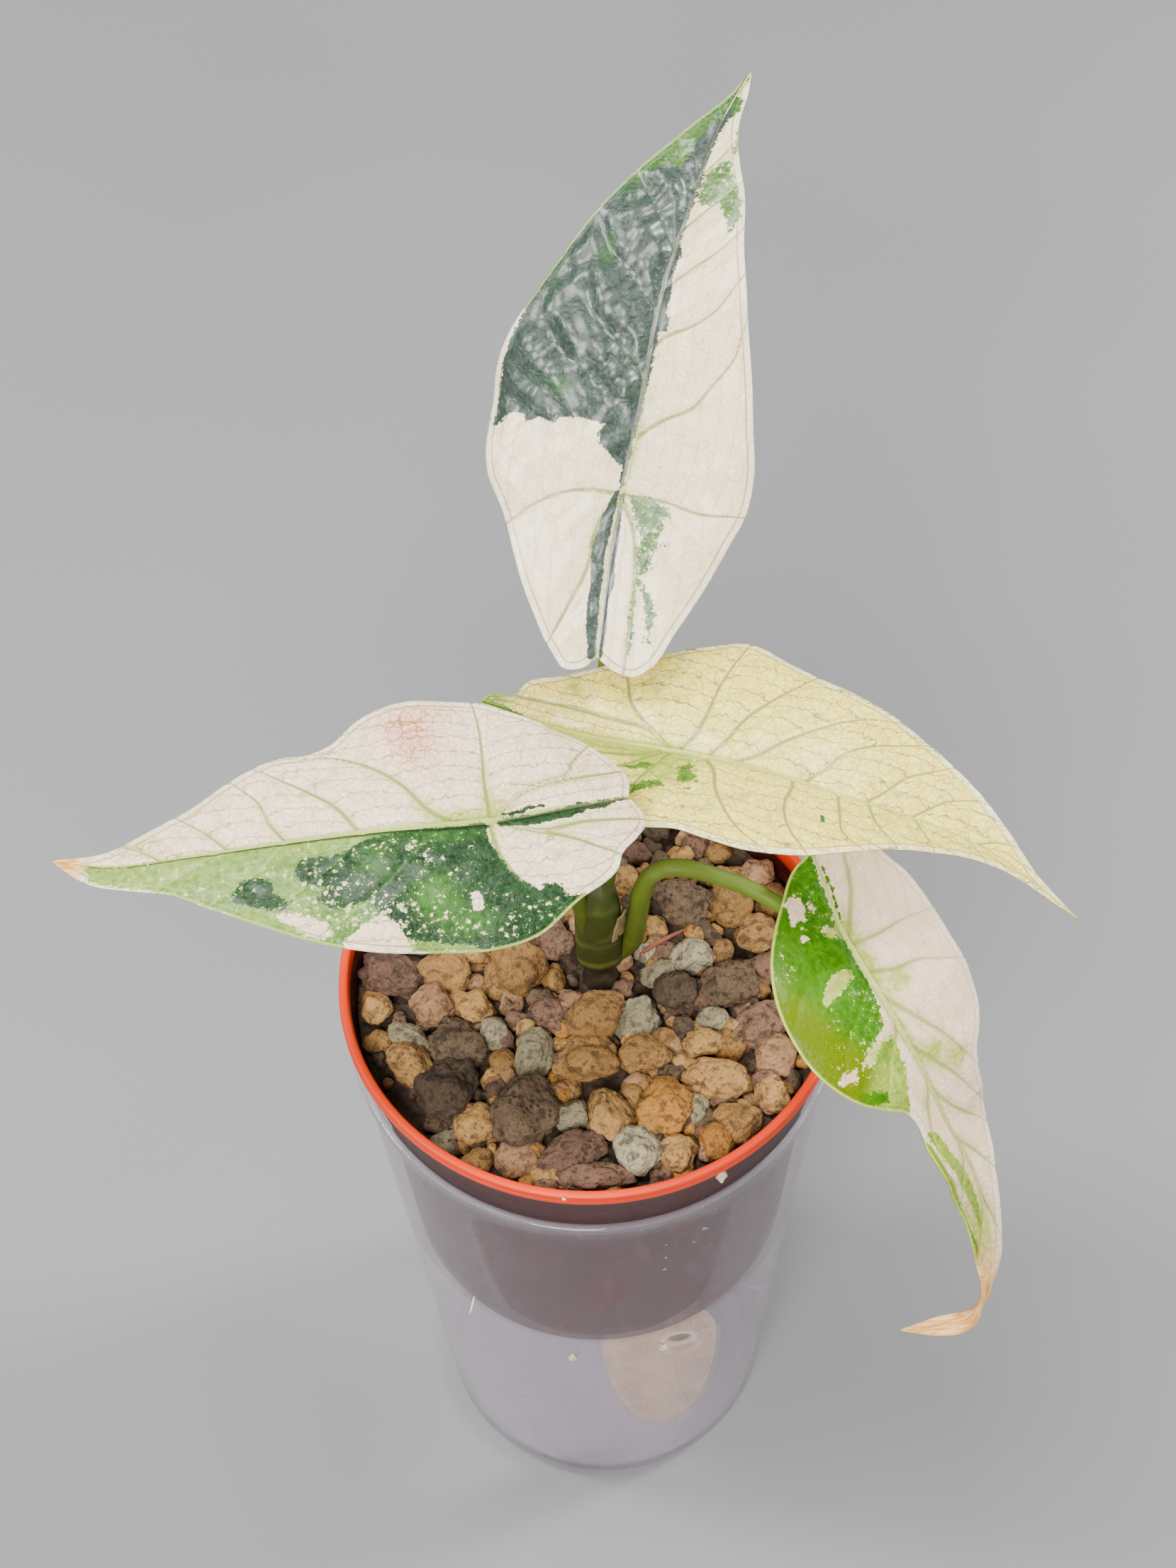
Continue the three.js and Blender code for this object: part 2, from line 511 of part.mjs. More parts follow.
// One angular stone: a blank with its corners drawn in or out by chance, sunk to its place.
function stone(blank, [x, y, length, width, heading], z, random) {
  const geometry = mergeVertices(blank.deleteAttribute("normal").deleteAttribute("uv"), MERGE);
  const anyTurn = () => random() * 6.3;
  const spin = new THREE.Euler(anyTurn(), anyTurn(), anyTurn());
  const halfSize = new THREE.Vector3(length / 2, width / 2, STONE.flatness * width);
  const turn = new THREE.Matrix4().makeRotationZ(THREE.MathUtils.degToRad(heading));
  const position = geometry.getAttribute("position");
  for (let i = 0; i < position.count; i += 1) {
    const corner = new THREE.Vector3().fromBufferAttribute(position, i).applyEuler(spin);
    corner.multiplyScalar(STONE.inner + STONE.uneven * random());
    corner.multiply(halfSize).applyMatrix4(turn);
    position.setXYZ(i, corner.x + x, corner.y + y, corner.z + z);
  }
  return solid(geometry);
}

// Smaller stones drawn at random, kept where they fill the spaces between those already laid.
function smallStones(random) {
  const laid = LARGE_STONES.map(([x, y, length, width]) => [x, y, (length + width) / 2]);
  const small = [];
  for (let i = 0; i < SCATTER.tries; i += 1) {
    const distance = SCATTER.reach * Math.sqrt(random());
    const bearing = 2 * Math.PI * random();
    const size = GRAVEL.smallest + (GRAVEL.largest - GRAVEL.smallest) * random() ** 2;
    const [x, y] = [distance * Math.cos(bearing), distance * Math.sin(bearing)];
    const near = ([px, py, other]) => Math.hypot(px - x, py - y) <= SCATTER.packing * (size + other);
    const toStem = STEM_FOOT.distanceTo(new THREE.Vector2(x, y));
    if (laid.some(near) || toStem < SCATTER.stemRoom + size / 3) continue;
    laid.push([x, y, size]);
    small.push([x, y, size * 1.1, size * 0.9, 180 * random()]);
  }
  return small;
}

function gravel() {
  const floor = POT.foot + POT.floor + GAP;
  const rim = POT.top - 1;
  const at = (z) => [potInside(Math.min(z, POT.top - 4)) - GAP, z];
  const shoulder = [at(POT.collar - 0.7), at(POT.collar + 1)];
  const inside = [[0, floor], [potInside(floor) - 2.4, floor], at(floor + 3), ...shoulder];
  const random = randomFrom(SCATTER.seed);
  let body = solid(turned([...inside, at(GRAVEL.top), [0, GRAVEL.top]], GRAVEL.sides));
  for (const spot of LARGE_STONES) {
    const blank = new THREE.IcosahedronGeometry(1, 0);
    body = body.add(stone(blank, spot, GRAVEL.top + STONE.proud + random(), random));
  }
  for (const spot of smallStones(random)) {
    const blank = new THREE.BoxGeometry(STONE.blank, STONE.blank, STONE.blank);
    body = body.add(stone(blank, spot, GRAVEL.top + 0.5 * random(), random));
  }
  body = body.intersect(solid(turned([...inside, at(rim), [0, rim]], GRAVEL.sides)));
  body = body.subtract(stemBody(GAP)).subtract(petioleRod(LEAVES.drooping, GAP));
  return geometryOf(body);
}

const object = new THREE.Group();

function place(name, geometry, color, roughness, opacity = 1) {
  const material = new THREE.MeshStandardMaterial({ color, roughness, metalness: 0 });
  material.opacity = opacity;
  material.transparent = opacity < 1;
  const mesh = new THREE.Mesh(geometry, material);
  mesh.name = name;
  object.add(mesh);
}

place("clear_cup", cup(), 0xdfe4ea, 0.12, 0.3);
place("nursery_pot", pot(), 0xc4492c, 0.45);
place("wick", wick(), 0xd6c6a2, 0.95);
place("gravel_bed", gravel(), 0x93714f, 0.9);
place("stem", stem(), 0x6a7b34, 0.5);
for (const [name, leaf] of Object.entries(LEAVES)) {
  place(`petiole_${name}`, petiole(leaf), 0x6f9a2f, 0.4);
  place(`leaf_${name}`, blade(leaf), leaf.color, 0.35);
}

export default object;
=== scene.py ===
"""A variegated alocasia in a nursery pot that hangs in a clear cup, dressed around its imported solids.

Lengths are in millimetres until a mesh is made, where they become metres. +Z is up, and the viewer
stands on the -Y side.
"""

import logging
import math
from collections.abc import Callable, Iterable, Sequence
from dataclasses import dataclass, field
from enum import Enum

import bpy
import numpy as np
from mathutils import Matrix, Vector


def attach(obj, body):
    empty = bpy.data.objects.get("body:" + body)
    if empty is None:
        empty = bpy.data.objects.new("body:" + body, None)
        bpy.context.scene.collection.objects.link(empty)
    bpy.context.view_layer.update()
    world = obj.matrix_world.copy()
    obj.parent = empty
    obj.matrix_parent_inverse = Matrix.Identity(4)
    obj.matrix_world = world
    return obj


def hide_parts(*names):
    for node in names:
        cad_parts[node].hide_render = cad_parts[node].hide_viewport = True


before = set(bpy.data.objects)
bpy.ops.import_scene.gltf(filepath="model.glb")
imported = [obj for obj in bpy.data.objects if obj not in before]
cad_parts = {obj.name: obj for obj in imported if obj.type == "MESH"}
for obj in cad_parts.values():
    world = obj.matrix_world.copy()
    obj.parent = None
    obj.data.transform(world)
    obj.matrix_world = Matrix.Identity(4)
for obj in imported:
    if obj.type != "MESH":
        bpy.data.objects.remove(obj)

Array = np.ndarray
Point = tuple[float, float]
Color = tuple[float, float, float, float]

LOG = logging.getLogger("alocasia")
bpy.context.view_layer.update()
BODY = "root"
MM = 0.001
FAR = 6.0


def srgb(code: str) -> Color:
    """Linear colour of a display colour.

    Args:
        code: six hexadecimal digits.

    Returns:
        Linear red, green, blue and an alpha of 1.
    """
    parts = [int(code[i:i + 2], 16) / 255 for i in (0, 2, 4)]
    linear = [c / 12.92 if c <= 0.04045 else ((c + 0.055) / 1.055) ** 2.4 for c in parts]
    return (linear[0], linear[1], linear[2], 1.0)


# Smooth curves and distances

def through(at: Array, rows: Array, t: Array) -> Array:
    """Smooth values through unevenly spaced stations, straight beyond both ends.

    Args:
        at: where the stations lie.
        rows: one row of values for each station.
        t: where values are wanted.

    Returns:
        One row of values for each t.
    """
    steps = np.diff(at)
    rises = np.diff(rows, axis=0) / steps[:, None]
    slopes = np.vstack([rises[:1], np.zeros((len(at) - 2, rows.shape[1])), rises[-1:]])
    before, after = steps[:-1, None], steps[1:, None]
    slopes[1:-1] = (rises[:-1] * after + rises[1:] * before) / (before + after)
    i = np.clip(np.searchsorted(at, t, side="right") - 1, 0, len(at) - 2)
    h = steps[i][:, None]
    s = np.clip((t - at[i])[:, None] / h, 0, 1)
    to_next = s * s * (3 - 2 * s)
    values = rows[i] * (1 - to_next) + rows[i + 1] * to_next
    values += h * slopes[i] * s * (1 - s) ** 2 - h * slopes[i + 1] * s * s * (1 - s)
    below, above = np.minimum(t - at[0], 0), np.maximum(t - at[-1], 0)
    return values + below[:, None] * slopes[0] + above[:, None] * slopes[-1]


def chain_lengths(points: Array) -> Array:
    """Distance along a chain of points, counted in straight steps."""
    return np.concatenate([[0.0], np.cumsum(np.linalg.norm(np.diff(points, axis=0), axis=1))])


def along_curve(points: Sequence[Sequence[float]], count: int) -> Array:
    """Evenly spaced rows along a smooth curve.

    Args:
        points: the curve's stations; the first three values, or all of two, are the position.
        count: how many rows are wanted.

    Returns:
        The rows, ends included.
    """
    rows = np.array(points, float)
    at = chain_lengths(rows[:, :3])
    return through(at, rows, np.linspace(0, at[-1], count))


def line_distance(points: Array, line: Array) -> tuple[Array, Array]:
    """Distance to a chain of straight segments, and the side on which each point lies.

    Args:
        points: rows of two coordinates.
        line: the chain's corners.

    Returns:
        The distances, and True where a point lies to the left of the nearest segment.
    """
    best = np.full(len(points), np.inf)
    left = np.zeros(len(points), bool)
    for start, end in zip(line[:-1], line[1:]):
        edge, offset = end - start, points - start
        share = np.clip(offset @ edge / (edge @ edge), 0, 1)
        away = np.linalg.norm(offset - share[:, None] * edge, axis=1)
        nearer = away < best
        best[nearer] = away[nearer]
        left[nearer] = (edge[0] * offset[:, 1] - edge[1] * offset[:, 0])[nearer] > 0
    return best, left


def depth_inside(points: Array, outline: Sequence[Point]) -> Array:
    """How deep points lie inside a closed outline, negative outside it.

    Args:
        points: rows of two coordinates.
        outline: the outline's corners.

    Returns:
        The depth of each point.
    """
    corners = np.array(outline, float)
    closed = np.vstack([corners, corners[:1]])
    best, _ = line_distance(points, closed)
    inside = np.zeros(len(points), bool)
    for start, end in zip(closed[:-1], closed[1:]):
        rise = end[1] - start[1] or 1.0
        spans = (start[1] > points[:, 1]) != (end[1] > points[:, 1])
        crossing = start[0] + (end[0] - start[0]) * (points[:, 1] - start[1]) / rise
        inside ^= spans & (points[:, 0] < crossing)
    return np.where(inside, best, -best)


def ease(value: Array, low: float, high: float) -> Array:
    """Smooth step from 0 at low to 1 at high."""
    share = np.clip((value - low) / (high - low), 0, 1)
    return share * share * (3 - 2 * share)


class Draws:
    """The same sequence of chances as the solids are laid by."""

    def __init__(self, seed: int) -> None:
        """Starts the sequence."""
        self.state = seed

    def __call__(self) -> float:
        """The next chance between 0 and 1."""
        self.state = self.state * 16807 % 2147483647
        return self.state / 2147483647

    def skip(self, count: int) -> None:
        """Passes over chances that only the solids use."""
        for _ in range(count):
            self()


# Meshes

def make_piece(name: str, points: Array, faces: Iterable[Sequence[int]], material: bpy.types.Material,
               stands_for: Sequence[str] = ()) -> bpy.types.Object:
    """Makes a smooth shaded piece of the object.

    Args:
        name: the piece's name.
        points: its corners in millimetres.
        faces: its faces as rows of corner numbers.
        material: its finish.
        stands_for: the solids that it replaces.

    Returns:
        The new object.
    """
    mesh = bpy.data.meshes.new(name)
    mesh.from_pydata((np.asarray(points) * MM).tolist(), [], [list(map(int, face)) for face in faces])
    mesh.validate()
    mesh.polygons.foreach_set("use_smooth", [True] * len(mesh.polygons))
    mesh.materials.append(material)
    piece = bpy.data.objects.new(name, mesh)
    bpy.context.scene.collection.objects.link(piece)
    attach(piece, BODY)
    if stands_for:
        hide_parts(*stands_for)
    LOG.info("%s: %d triangles", name, sum(len(p.vertices) - 2 for p in mesh.polygons))
    return piece


def paint(piece: bpy.types.Object, **values: Array) -> None:
    """Stores numbers, or rows of three, at the corners of a piece for its finish to read.

    Args:
        piece: the piece.
        values: the numbers, one row for each corner, by attribute name.
    """
    for name, rows in values.items():
        rows = np.asarray(rows, np.float32)
        kind, key = ("FLOAT_VECTOR", "vector") if rows.ndim == 2 else ("FLOAT", "value")
        attribute = piece.data.attributes.new(name, kind, "POINT")
        attribute.data.foreach_set(key, rows.ravel())


def turned(profile: Sequence[Point], sides: int) -> tuple[Array, list[list[int]]]:
    """A closed body turned round the Z axis.

    Args:
        profile: radius and height, from the axis round to the axis again.
        sides: how many steps go round.

    Returns:
        The points and the faces.
    """
    ring = profile[1:-1]
    angles = 2 * np.pi * np.arange(sides) / sides
    points = [[r * math.cos(a), r * math.sin(a), z] for r, z in ring for a in angles]
    faces = []
    for i in range(len(ring) - 1):
        for j in range(sides):
            k = (j + 1) % sides
            faces.append([i * sides + j, i * sides + k, (i + 1) * sides + k, (i + 1) * sides + j])
    for (_, z), row, step in ((profile[0], 0, -1), (profile[-1], len(ring) - 1, 1)):
        points.append([0, 0, z])
        for j in range(sides):
            pair = [row * sides + j, row * sides + (j + 1) % sides]
            faces.append([*pair[::step], len(points) - 1])
    return np.array(points), faces


def rounded(profile: Sequence[tuple[float, float, float]], steps: int = 5) -> list[Point]:
    """Rounds the corners of a profile.

    Args:
        profile: radius, height and corner radius of each corner.
        steps: points along each rounded corner.

    Returns:
        The profile with its corners replaced by short arcs.
    """
    corners = [np.array(row[:2], float) for row in profile]
    made: list[Point] = [tuple(corners[0])]
    for before, here, after, row in zip(corners, corners[1:], corners[2:], profile[1:]):
        if row[2] <= 0:
            made.append(tuple(here))
            continue
        reach = min(row[2], 0.45 * np.linalg.norm(before - here), 0.45 * np.linalg.norm(after - here))
        start = here + (before - here) / np.linalg.norm(before - here) * reach
        end = here + (after - here) / np.linalg.norm(after - here) * reach
        for t in np.linspace(0, 1, steps):
            made.append(tuple((1 - t) ** 2 * start + 2 * t * (1 - t) * here + t * t * end))
    made.append(tuple(corners[-1]))
    return made


def rod(stations: Sequence[Sequence[float]], steps: int, sides: int,
        swell: Callable[[Array, Array], Array] | None = None) -> tuple[Array, list[list[int]], Array]:
    """A round rod of changing thickness.

    Args:
        stations: position and radius along the rod.
        steps: rings along it.
        sides: corners round it.
        swell: factor on the radius for a share of the length and an angle round the rod.

    Returns:
        The points, the faces and each point's share of the length.
    """
    rows = along_curve(stations, steps + 1)
    ahead = np.gradient(rows[:, :3], axis=0)
    ahead /= np.linalg.norm(ahead, axis=1)[:, None]
    side = np.array([1.0, 0, 0])
    angles = 2 * np.pi * np.arange(sides) / sides
    points, faces = [], []
    for i, (row, direction) in enumerate(zip(rows, ahead)):
        side = side - (side @ direction) * direction
        side /= np.linalg.norm(side)
        other = np.cross(direction, side)
        spokes = np.cos(angles)[:, None] * side + np.sin(angles)[:, None] * other
        factor = swell(np.full(sides, i / steps), angles) if swell else np.ones(sides)
        points.extend(row[:3] + spokes * (row[3] * factor)[:, None])
        if i:
            here = i * sides
            faces += [[here - sides + j, here - sides + (j + 1) % sides, here + (j + 1) % sides, here + j]
                      for j in range(sides)]
    faces.append(list(range(sides))[::-1])
    faces.append([steps * sides + j for j in range(sides)])
    return np.array(points), faces, np.repeat(np.linspace(0, 1, steps + 1), sides)


def joined(parts: Sequence[tuple[Array, Sequence[Sequence[int]]]]) -> tuple[Array, list[list[int]]]:
    """Puts several bodies into one mesh.

    Args:
        parts: the points and the faces of each.

    Returns:
        The points and the faces of the whole.
    """
    points, faces, count = [], [], 0
    for part_points, part_faces in parts:
        points.append(part_points)
        faces += [[count + corner for corner in face] for face in part_faces]
        count += len(part_points)
    return np.vstack(points), faces


def strip_faces(wide: int, long: int, right: int, down: int) -> list[list[int]]:
    """Faces of a thin strip: one grid of corners, a second one behind it, and a rim round both.

    Args:
        wide: corners across the strip.
        long: corners down the strip.
        right: what is added to a corner's number to reach the next one across.
        down: what is added to reach the next one down.

    Returns:
        The faces.
    """
    count, faces = wide * long, []
    for i in range(long - 1):
        for j in range(wide - 1):
            corner = i * down + j * right
            ring = [corner, corner + down, corner + down + right, corner + right]
            faces += [ring, [count + k for k in ring[::-1]]]
    rim = [j * right for j in range(wide)]
    rim += [i * down + (wide - 1) * right for i in range(1, long)]
    rim += [(long - 1) * down + j * right for j in range(wide - 2, -1, -1)]
    rim += [i * down for i in range(long - 2, 0, -1)]
    return faces + [[a, b, count + b, count + a] for a, b in zip(rim, rim[1:] + rim[:1])]


# Shader trees

class Value:
    """A number that changes over a surface; arithmetic on it adds Math nodes."""

    def __init__(self, tree: "Tree", socket: bpy.types.NodeSocket) -> None:
        """Wraps an output socket."""
        self.tree = tree
        self.socket = socket

    def _math(self, operation: str, *terms: "Value | float") -> "Value":
        """Adds one Math node on the terms."""
        node = self.tree.node("ShaderNodeMath", {"operation": operation}, dict(enumerate(terms)))
        return Value(self.tree, node.outputs[0])

    def __add__(self, other: "Value | float") -> "Value":
        """The sum."""
        return self._math("ADD", self, other)

    def __radd__(self, other: float) -> "Value":
        """The sum, with the number first."""
        return self._math("ADD", other, self)

    def __sub__(self, other: "Value | float") -> "Value":
        """The difference."""
        return self._math("SUBTRACT", self, other)

    def __rsub__(self, other: float) -> "Value":
        """The difference, with the number first."""
        return self._math("SUBTRACT", other, self)

    def __mul__(self, other: "Value | float") -> "Value":
        """The product."""
        return self._math("MULTIPLY", self, other)

    def __rmul__(self, other: float) -> "Value":
        """The product, with the number first."""
        return self._math("MULTIPLY", other, self)

    def __abs__(self) -> "Value":
        """The size without the sign."""
        return self._math("ABSOLUTE", self)

    def fraction(self) -> "Value":
        """What is left above the whole number below."""
        return self._math("FRACT", self)

    def highest(self, other: "Value | float") -> "Value":
        """The larger of two."""
        return self._math("MAXIMUM", self, other)

    def ease(self, low: "Value | float", high: "Value | float") -> "Value":
        """Smooth step from 0 at low to 1 at high.

        Args:
            low: where the step starts.
            high: where it ends.

        Returns:
            The step.
        """
        limits = {"Value": self, "From Min": low, "From Max": high}
        node = self.tree.node("ShaderNodeMapRange", {"interpolation_type": "SMOOTHSTEP"}, limits)
        return Value(self.tree, node.outputs[0])


class Tree:
    """The node tree of one material."""

    def __init__(self, name: str) -> None:
        """Starts a material with an empty tree.

        Args:
            name: the material's name.
        """
        self.material = bpy.data.materials.new(name)
        self.material.use_nodes = True
        self.nodes = self.material.node_tree.nodes
        self.links = self.material.node_tree.links
        self.nodes.clear()

    def node(self, kind: str, settings: dict[str, object], inputs: dict[int | str, object]) -> bpy.types.Node:
        """Adds a node.

        Args:
            kind: the node's type.
            settings: its own settings, which are set first.
            inputs: values or links of its sockets, by number or name; text is a display colour.

        Returns:
            The new node.
        """
        made = self.nodes.new(kind)
        for name, value in settings.items():
            setattr(made, name, value)
        for key, value in inputs.items():
            source = value.socket if isinstance(value, Value) else value
            source = srgb(source) if isinstance(source, str) else source
            if isinstance(source, bpy.types.NodeSocket):
                self.links.new(source, made.inputs[key])
            else:
                made.inputs[key].default_value = source
        return made

    def number(self, name: str) -> Value:
        """A number stored at the corners of the mesh."""
        return Value(self, self.node("ShaderNodeAttribute", {"attribute_name": name}, {}).outputs["Fac"])

    def place(self, name: str) -> bpy.types.NodeSocket:
        """Three numbers stored at the corners of the mesh."""
        return self.node("ShaderNodeAttribute", {"attribute_name": name}, {}).outputs["Vector"]

    def position(self) -> bpy.types.NodeSocket:
        """The object's own coordinates, in metres."""
        return self.node("ShaderNodeTexCoord", {}, {}).outputs["Object"]

    def scaled(self, where: bpy.types.NodeSocket, factors: Sequence[float]) -> bpy.types.NodeSocket:
        """Coordinates stretched along each axis."""
        settings = {"operation": "MULTIPLY"}
        return self.node("ShaderNodeVectorMath", settings, {0: where, 1: tuple(factors)}).outputs[0]

    def noise(self, where: bpy.types.NodeSocket, scale: float, detail: float = 2.0) -> Value:
        """Soft noise around one half."""
        inputs = {"Vector": where, "Scale": scale, "Detail": detail}
        return Value(self, self.node("ShaderNodeTexNoise", {}, inputs).outputs[0])

    def warped(self, where: bpy.types.NodeSocket, scale: float, amount: float) -> bpy.types.NodeSocket:
        """Coordinates pushed about by soft noise.

        Args:
            where: the coordinates.
            scale: how fine the noise is.
            amount: how far it pushes, in the coordinates' own unit.

        Returns:
            The pushed coordinates.
        """
        inputs = {"Vector": where, "Scale": scale, "Detail": 2.0}
        color = self.node("ShaderNodeTexNoise", {}, inputs).outputs["Color"]
        centred = self.node("ShaderNodeVectorMath", {"operation": "SUBTRACT"}, {0: color, 1: (0.5, 0.5, 0.5)})
        push = self.scaled(centred.outputs[0], (2 * amount, 2 * amount, 2 * amount))
        return self.node("ShaderNodeVectorMath", {"operation": "ADD"}, {0: where, 1: push}).outputs[0]

    def mosaic(self, where: bpy.types.NodeSocket, scale: float, feature: str = "F1") -> bpy.types.Node:
        """A mosaic of random cells."""
        return self.node("ShaderNodeTexVoronoi", {"feature": feature}, {"Vector": where, "Scale": scale})

    def cells(self, where: bpy.types.NodeSocket, scale: float) -> Value:
        """A chance between 0 and 1 for each cell of a mosaic."""
        color = self.mosaic(where, scale).outputs["Color"]
        return Value(self, self.node("ShaderNodeSeparateColor", {}, {0: color}).outputs[0])

    def pits(self, where: bpy.types.NodeSocket, scale: float) -> Value:
        """Distance to the nearest of many scattered points, in cells."""
        return Value(self, self.mosaic(where, scale).outputs["Distance"])

    def net(self, where: bpy.types.NodeSocket, scale: float) -> Value:
        """Distance to the threads of a random net, in cells."""
        return Value(self, self.mosaic(where, scale, "DISTANCE_TO_EDGE").outputs["Distance"])

    def mix(self, share: Value | float, first: object, second: object) -> bpy.types.NodeSocket:
        """Colour from first to second."""
        settings = {"data_type": "RGBA", "clamp_factor": True}
        return self.node("ShaderNodeMix", settings, {0: share, 6: first, 7: second}).outputs[2]

    def layers(self, ground: object, *coats: tuple[Value | float, object]) -> bpy.types.NodeSocket:
        """A colour with others laid over it.

        Args:
            ground: the colour below.
            coats: how much of each other colour lies over what is below it, and that colour.

        Returns:
            The colour that shows.
        """
        for share, color in coats:
            ground = self.mix(share, ground, color)
        return ground

    def bump(self, height: Value, depth: float) -> bpy.types.NodeSocket:
        """Normals that follow a height.

        Args:
            height: the relief, from 0 to 1.
            depth: its real depth in millimetres.

        Returns:
            The normal socket.
        """
        inputs = {"Strength": 1.0, "Distance": depth * MM, "Height": height}
        return self.node("ShaderNodeBump", {}, inputs).outputs[0]

    def surface(self, inputs: dict[str, object]) -> bpy.types.Material:
        """Closes the tree with its surface shader.

        Args:
            inputs: values or links of the shader's sockets, by name.

        Returns:
            The material.
        """
        shader = self.node("ShaderNodeBsdfPrincipled", {}, inputs)
        self.node("ShaderNodeOutputMaterial", {}, {"Surface": shader.outputs[0]})
        return self.material


# The room

@dataclass(frozen=True)
class FloorPaint:
    """Plain pale paint, a little uneven."""

    low: Color = (0.22, 0.22, 0.23, 1)
    high: Color = (0.26, 0.26, 0.27, 1)
    roughness: float = 0.75

    def material(self) -> bpy.types.Material:
        """Mixes the paint.

        Returns:
            The material.
        """
        tree = Tree("floor_paint")
        shade = tree.noise(tree.position(), 3.0, 3.0).ease(0.2, 0.8)
        return tree.surface({"Base Color": tree.mix(shade, self.low, self.high), "Roughness": self.roughness})


@dataclass(frozen=True)
class Lamp:
    """A soft square light: where it hangs and its side in millimetres, its power in watts and its tint."""

    name: str
    spot: tuple[float, float, float]
    side: float
    power: float
    tint: tuple[float, float, float]

    def hang(self, target: Vector) -> None:
        """Hangs the light.

        Args:
            target: where it points, in millimetres.
        """
        data = bpy.data.lights.new(self.name, "AREA")
        data.size = self.side * MM
        data.energy = self.power
        data.color = self.tint
        lamp = bpy.data.objects.new(self.name, data)
        bpy.context.scene.collection.objects.link(lamp)
        lamp.location = Vector(self.spot) * MM
        lamp.rotation_mode = "QUATERNION"
        lamp.rotation_quaternion = (target - Vector(self.spot)).to_track_quat("-Z", "Y")


@dataclass
class Studio:
    """Camera, floor and lights."""

    target: tuple[float, float, float] = (0.65, 0.0, 206.4)
    distance: float = 579.8
    elevation: float = 0.970
    roll: float = 0.036
    focal: float = 5000.0
    frame_height: float = 2212.0
    sensor: float = 36.0
    floor_half: float = 3000.0
    sky: Color = (0.86, 0.87, 0.90, 1)
    sky_strength: float = 0.25
    lamps: Sequence[Lamp] = (
        Lamp("overhead_light", (-140, 20, 1150), 400, 11, (1, 0.985, 0.95)),
        Lamp("key_light", (-230, -940, 1070), 480, 24, (1, 0.985, 0.95)),
        Lamp("left_light", (-780, 150, 1080), 260, 11, (1, 0.99, 0.97)),
        Lamp("right_light", (900, 300, 900), 200, 14, (1, 0.99, 0.96)),
    )

    def camera(self) -> None:
        """Puts the camera where the photograph was taken from."""
        back = Vector((0, -math.cos(self.elevation), math.sin(self.elevation)))
        right = (-back).cross(Vector((0, 0, 1))).normalized()
        down = (-back).cross(right)
        tilted = math.cos(self.roll) * right + math.sin(self.roll) * down
        lower = math.cos(self.roll) * down - math.sin(self.roll) * right
        spot = (Vector(self.target) + back * self.distance) * MM
        data = bpy.data.cameras.new("viewer")
        data.sensor_width = self.sensor
        data.lens = self.focal / self.frame_height * self.sensor
        data.clip_start = 0.02
        data.clip_end = 50
        camera = bpy.data.objects.new("viewer", data)
        bpy.context.scene.collection.objects.link(camera)
        turn = Matrix((tilted, -lower, back)).transposed()
        camera.matrix_world = Matrix.Translation(spot) @ turn.to_4x4()
        bpy.context.scene.camera = camera

    def floor(self) -> None:
        """Lays a plain pale floor."""
        half = self.floor_half * MM
        mesh = bpy.data.meshes.new("floor")
        corners = [(-half, -half, 0), (half, -half, 0), (half, half, 0), (-half, half, 0)]
        mesh.from_pydata(corners, [], [(0, 1, 2, 3)])
        mesh.materials.append(FloorPaint().material())
        floor = bpy.data.objects.new("floor", mesh)
        bpy.context.scene.collection.objects.link(floor)

    def build(self) -> None:
        """Sets up the whole room."""
        self.camera()
        self.floor()
        for lamp in self.lamps:
            lamp.hang(Vector(self.target))
        world = bpy.data.worlds.new("room")
        world.use_nodes = True
        background = world.node_tree.nodes["Background"]
        background.inputs["Color"].default_value = self.sky
        background.inputs["Strength"].default_value = self.sky_strength
        bpy.context.scene.world = world


# Cup, pot, wick and litter

@dataclass(frozen=True)
class ClearPlastic:
    """Clear plastic with haze, scuffs and faint mould rings; pale at foot and rim as painted highlight lines.
    """

    tint: str = "f2ecf6"
    transmission: float = 0.82
    ior: float = 1.04
    density: float = 0.07
    foot_bend: Point = (0.0018, 0.0042)
    rim_bend: Point = (0.1308, 0.1318)

    def material(self) -> bpy.types.Material:
        """Makes the plastic.

        Returns:
            The material.
        """
        tree = Tree("clear_plastic")
        where = tree.position()
        haze = tree.noise(tree.scaled(where, (1, 1, 0.5)), 45.0, 4.0).ease(0.35, 0.75)
        rings = tree.noise(tree.scaled(where, (0.02, 0.02, 1)), 320.0)
        scuffs = tree.noise(tree.scaled(where, (1, 1, 0.25)), 420.0, 3.0).ease(0.56, 0.70)
        # Opacity grows where the wall is seen edge-on: partly the longer path through the haze, partly
        # painted reflection.
        grazing = Value(tree, tree.node("ShaderNodeLayerWeight", {}, {"Blend": 0.5}).outputs["Facing"])
        height = Value(tree, tree.node("ShaderNodeSeparateXYZ", {}, {0: where}).outputs["Z"])
        # Foot and rim are made more opaque pale plastic: painted highlight lines, with a stronger coat there
        # too.
        bend_highlight = ((1 - height.ease(*self.foot_bend)) * 1.3).highest(height.ease(*self.rim_bend))
        alpha = self.density + haze * 0.06 + scuffs * 0.08 + grazing * grazing * grazing * 0.6 + bend_highlight * 0.65
        return tree.surface({
            "Base Color": self.tint, "Alpha": alpha, "Roughness": 0.03 + haze * 0.07 + scuffs * 0.15,
            "Transmission Weight": self.transmission, "IOR": self.ior, "Coat Weight": 0.4 + bend_highlight * 0.5,
            "Coat Roughness": 0.05, "Normal": tree.bump(rings + haze * 0.5, 0.04),
        })


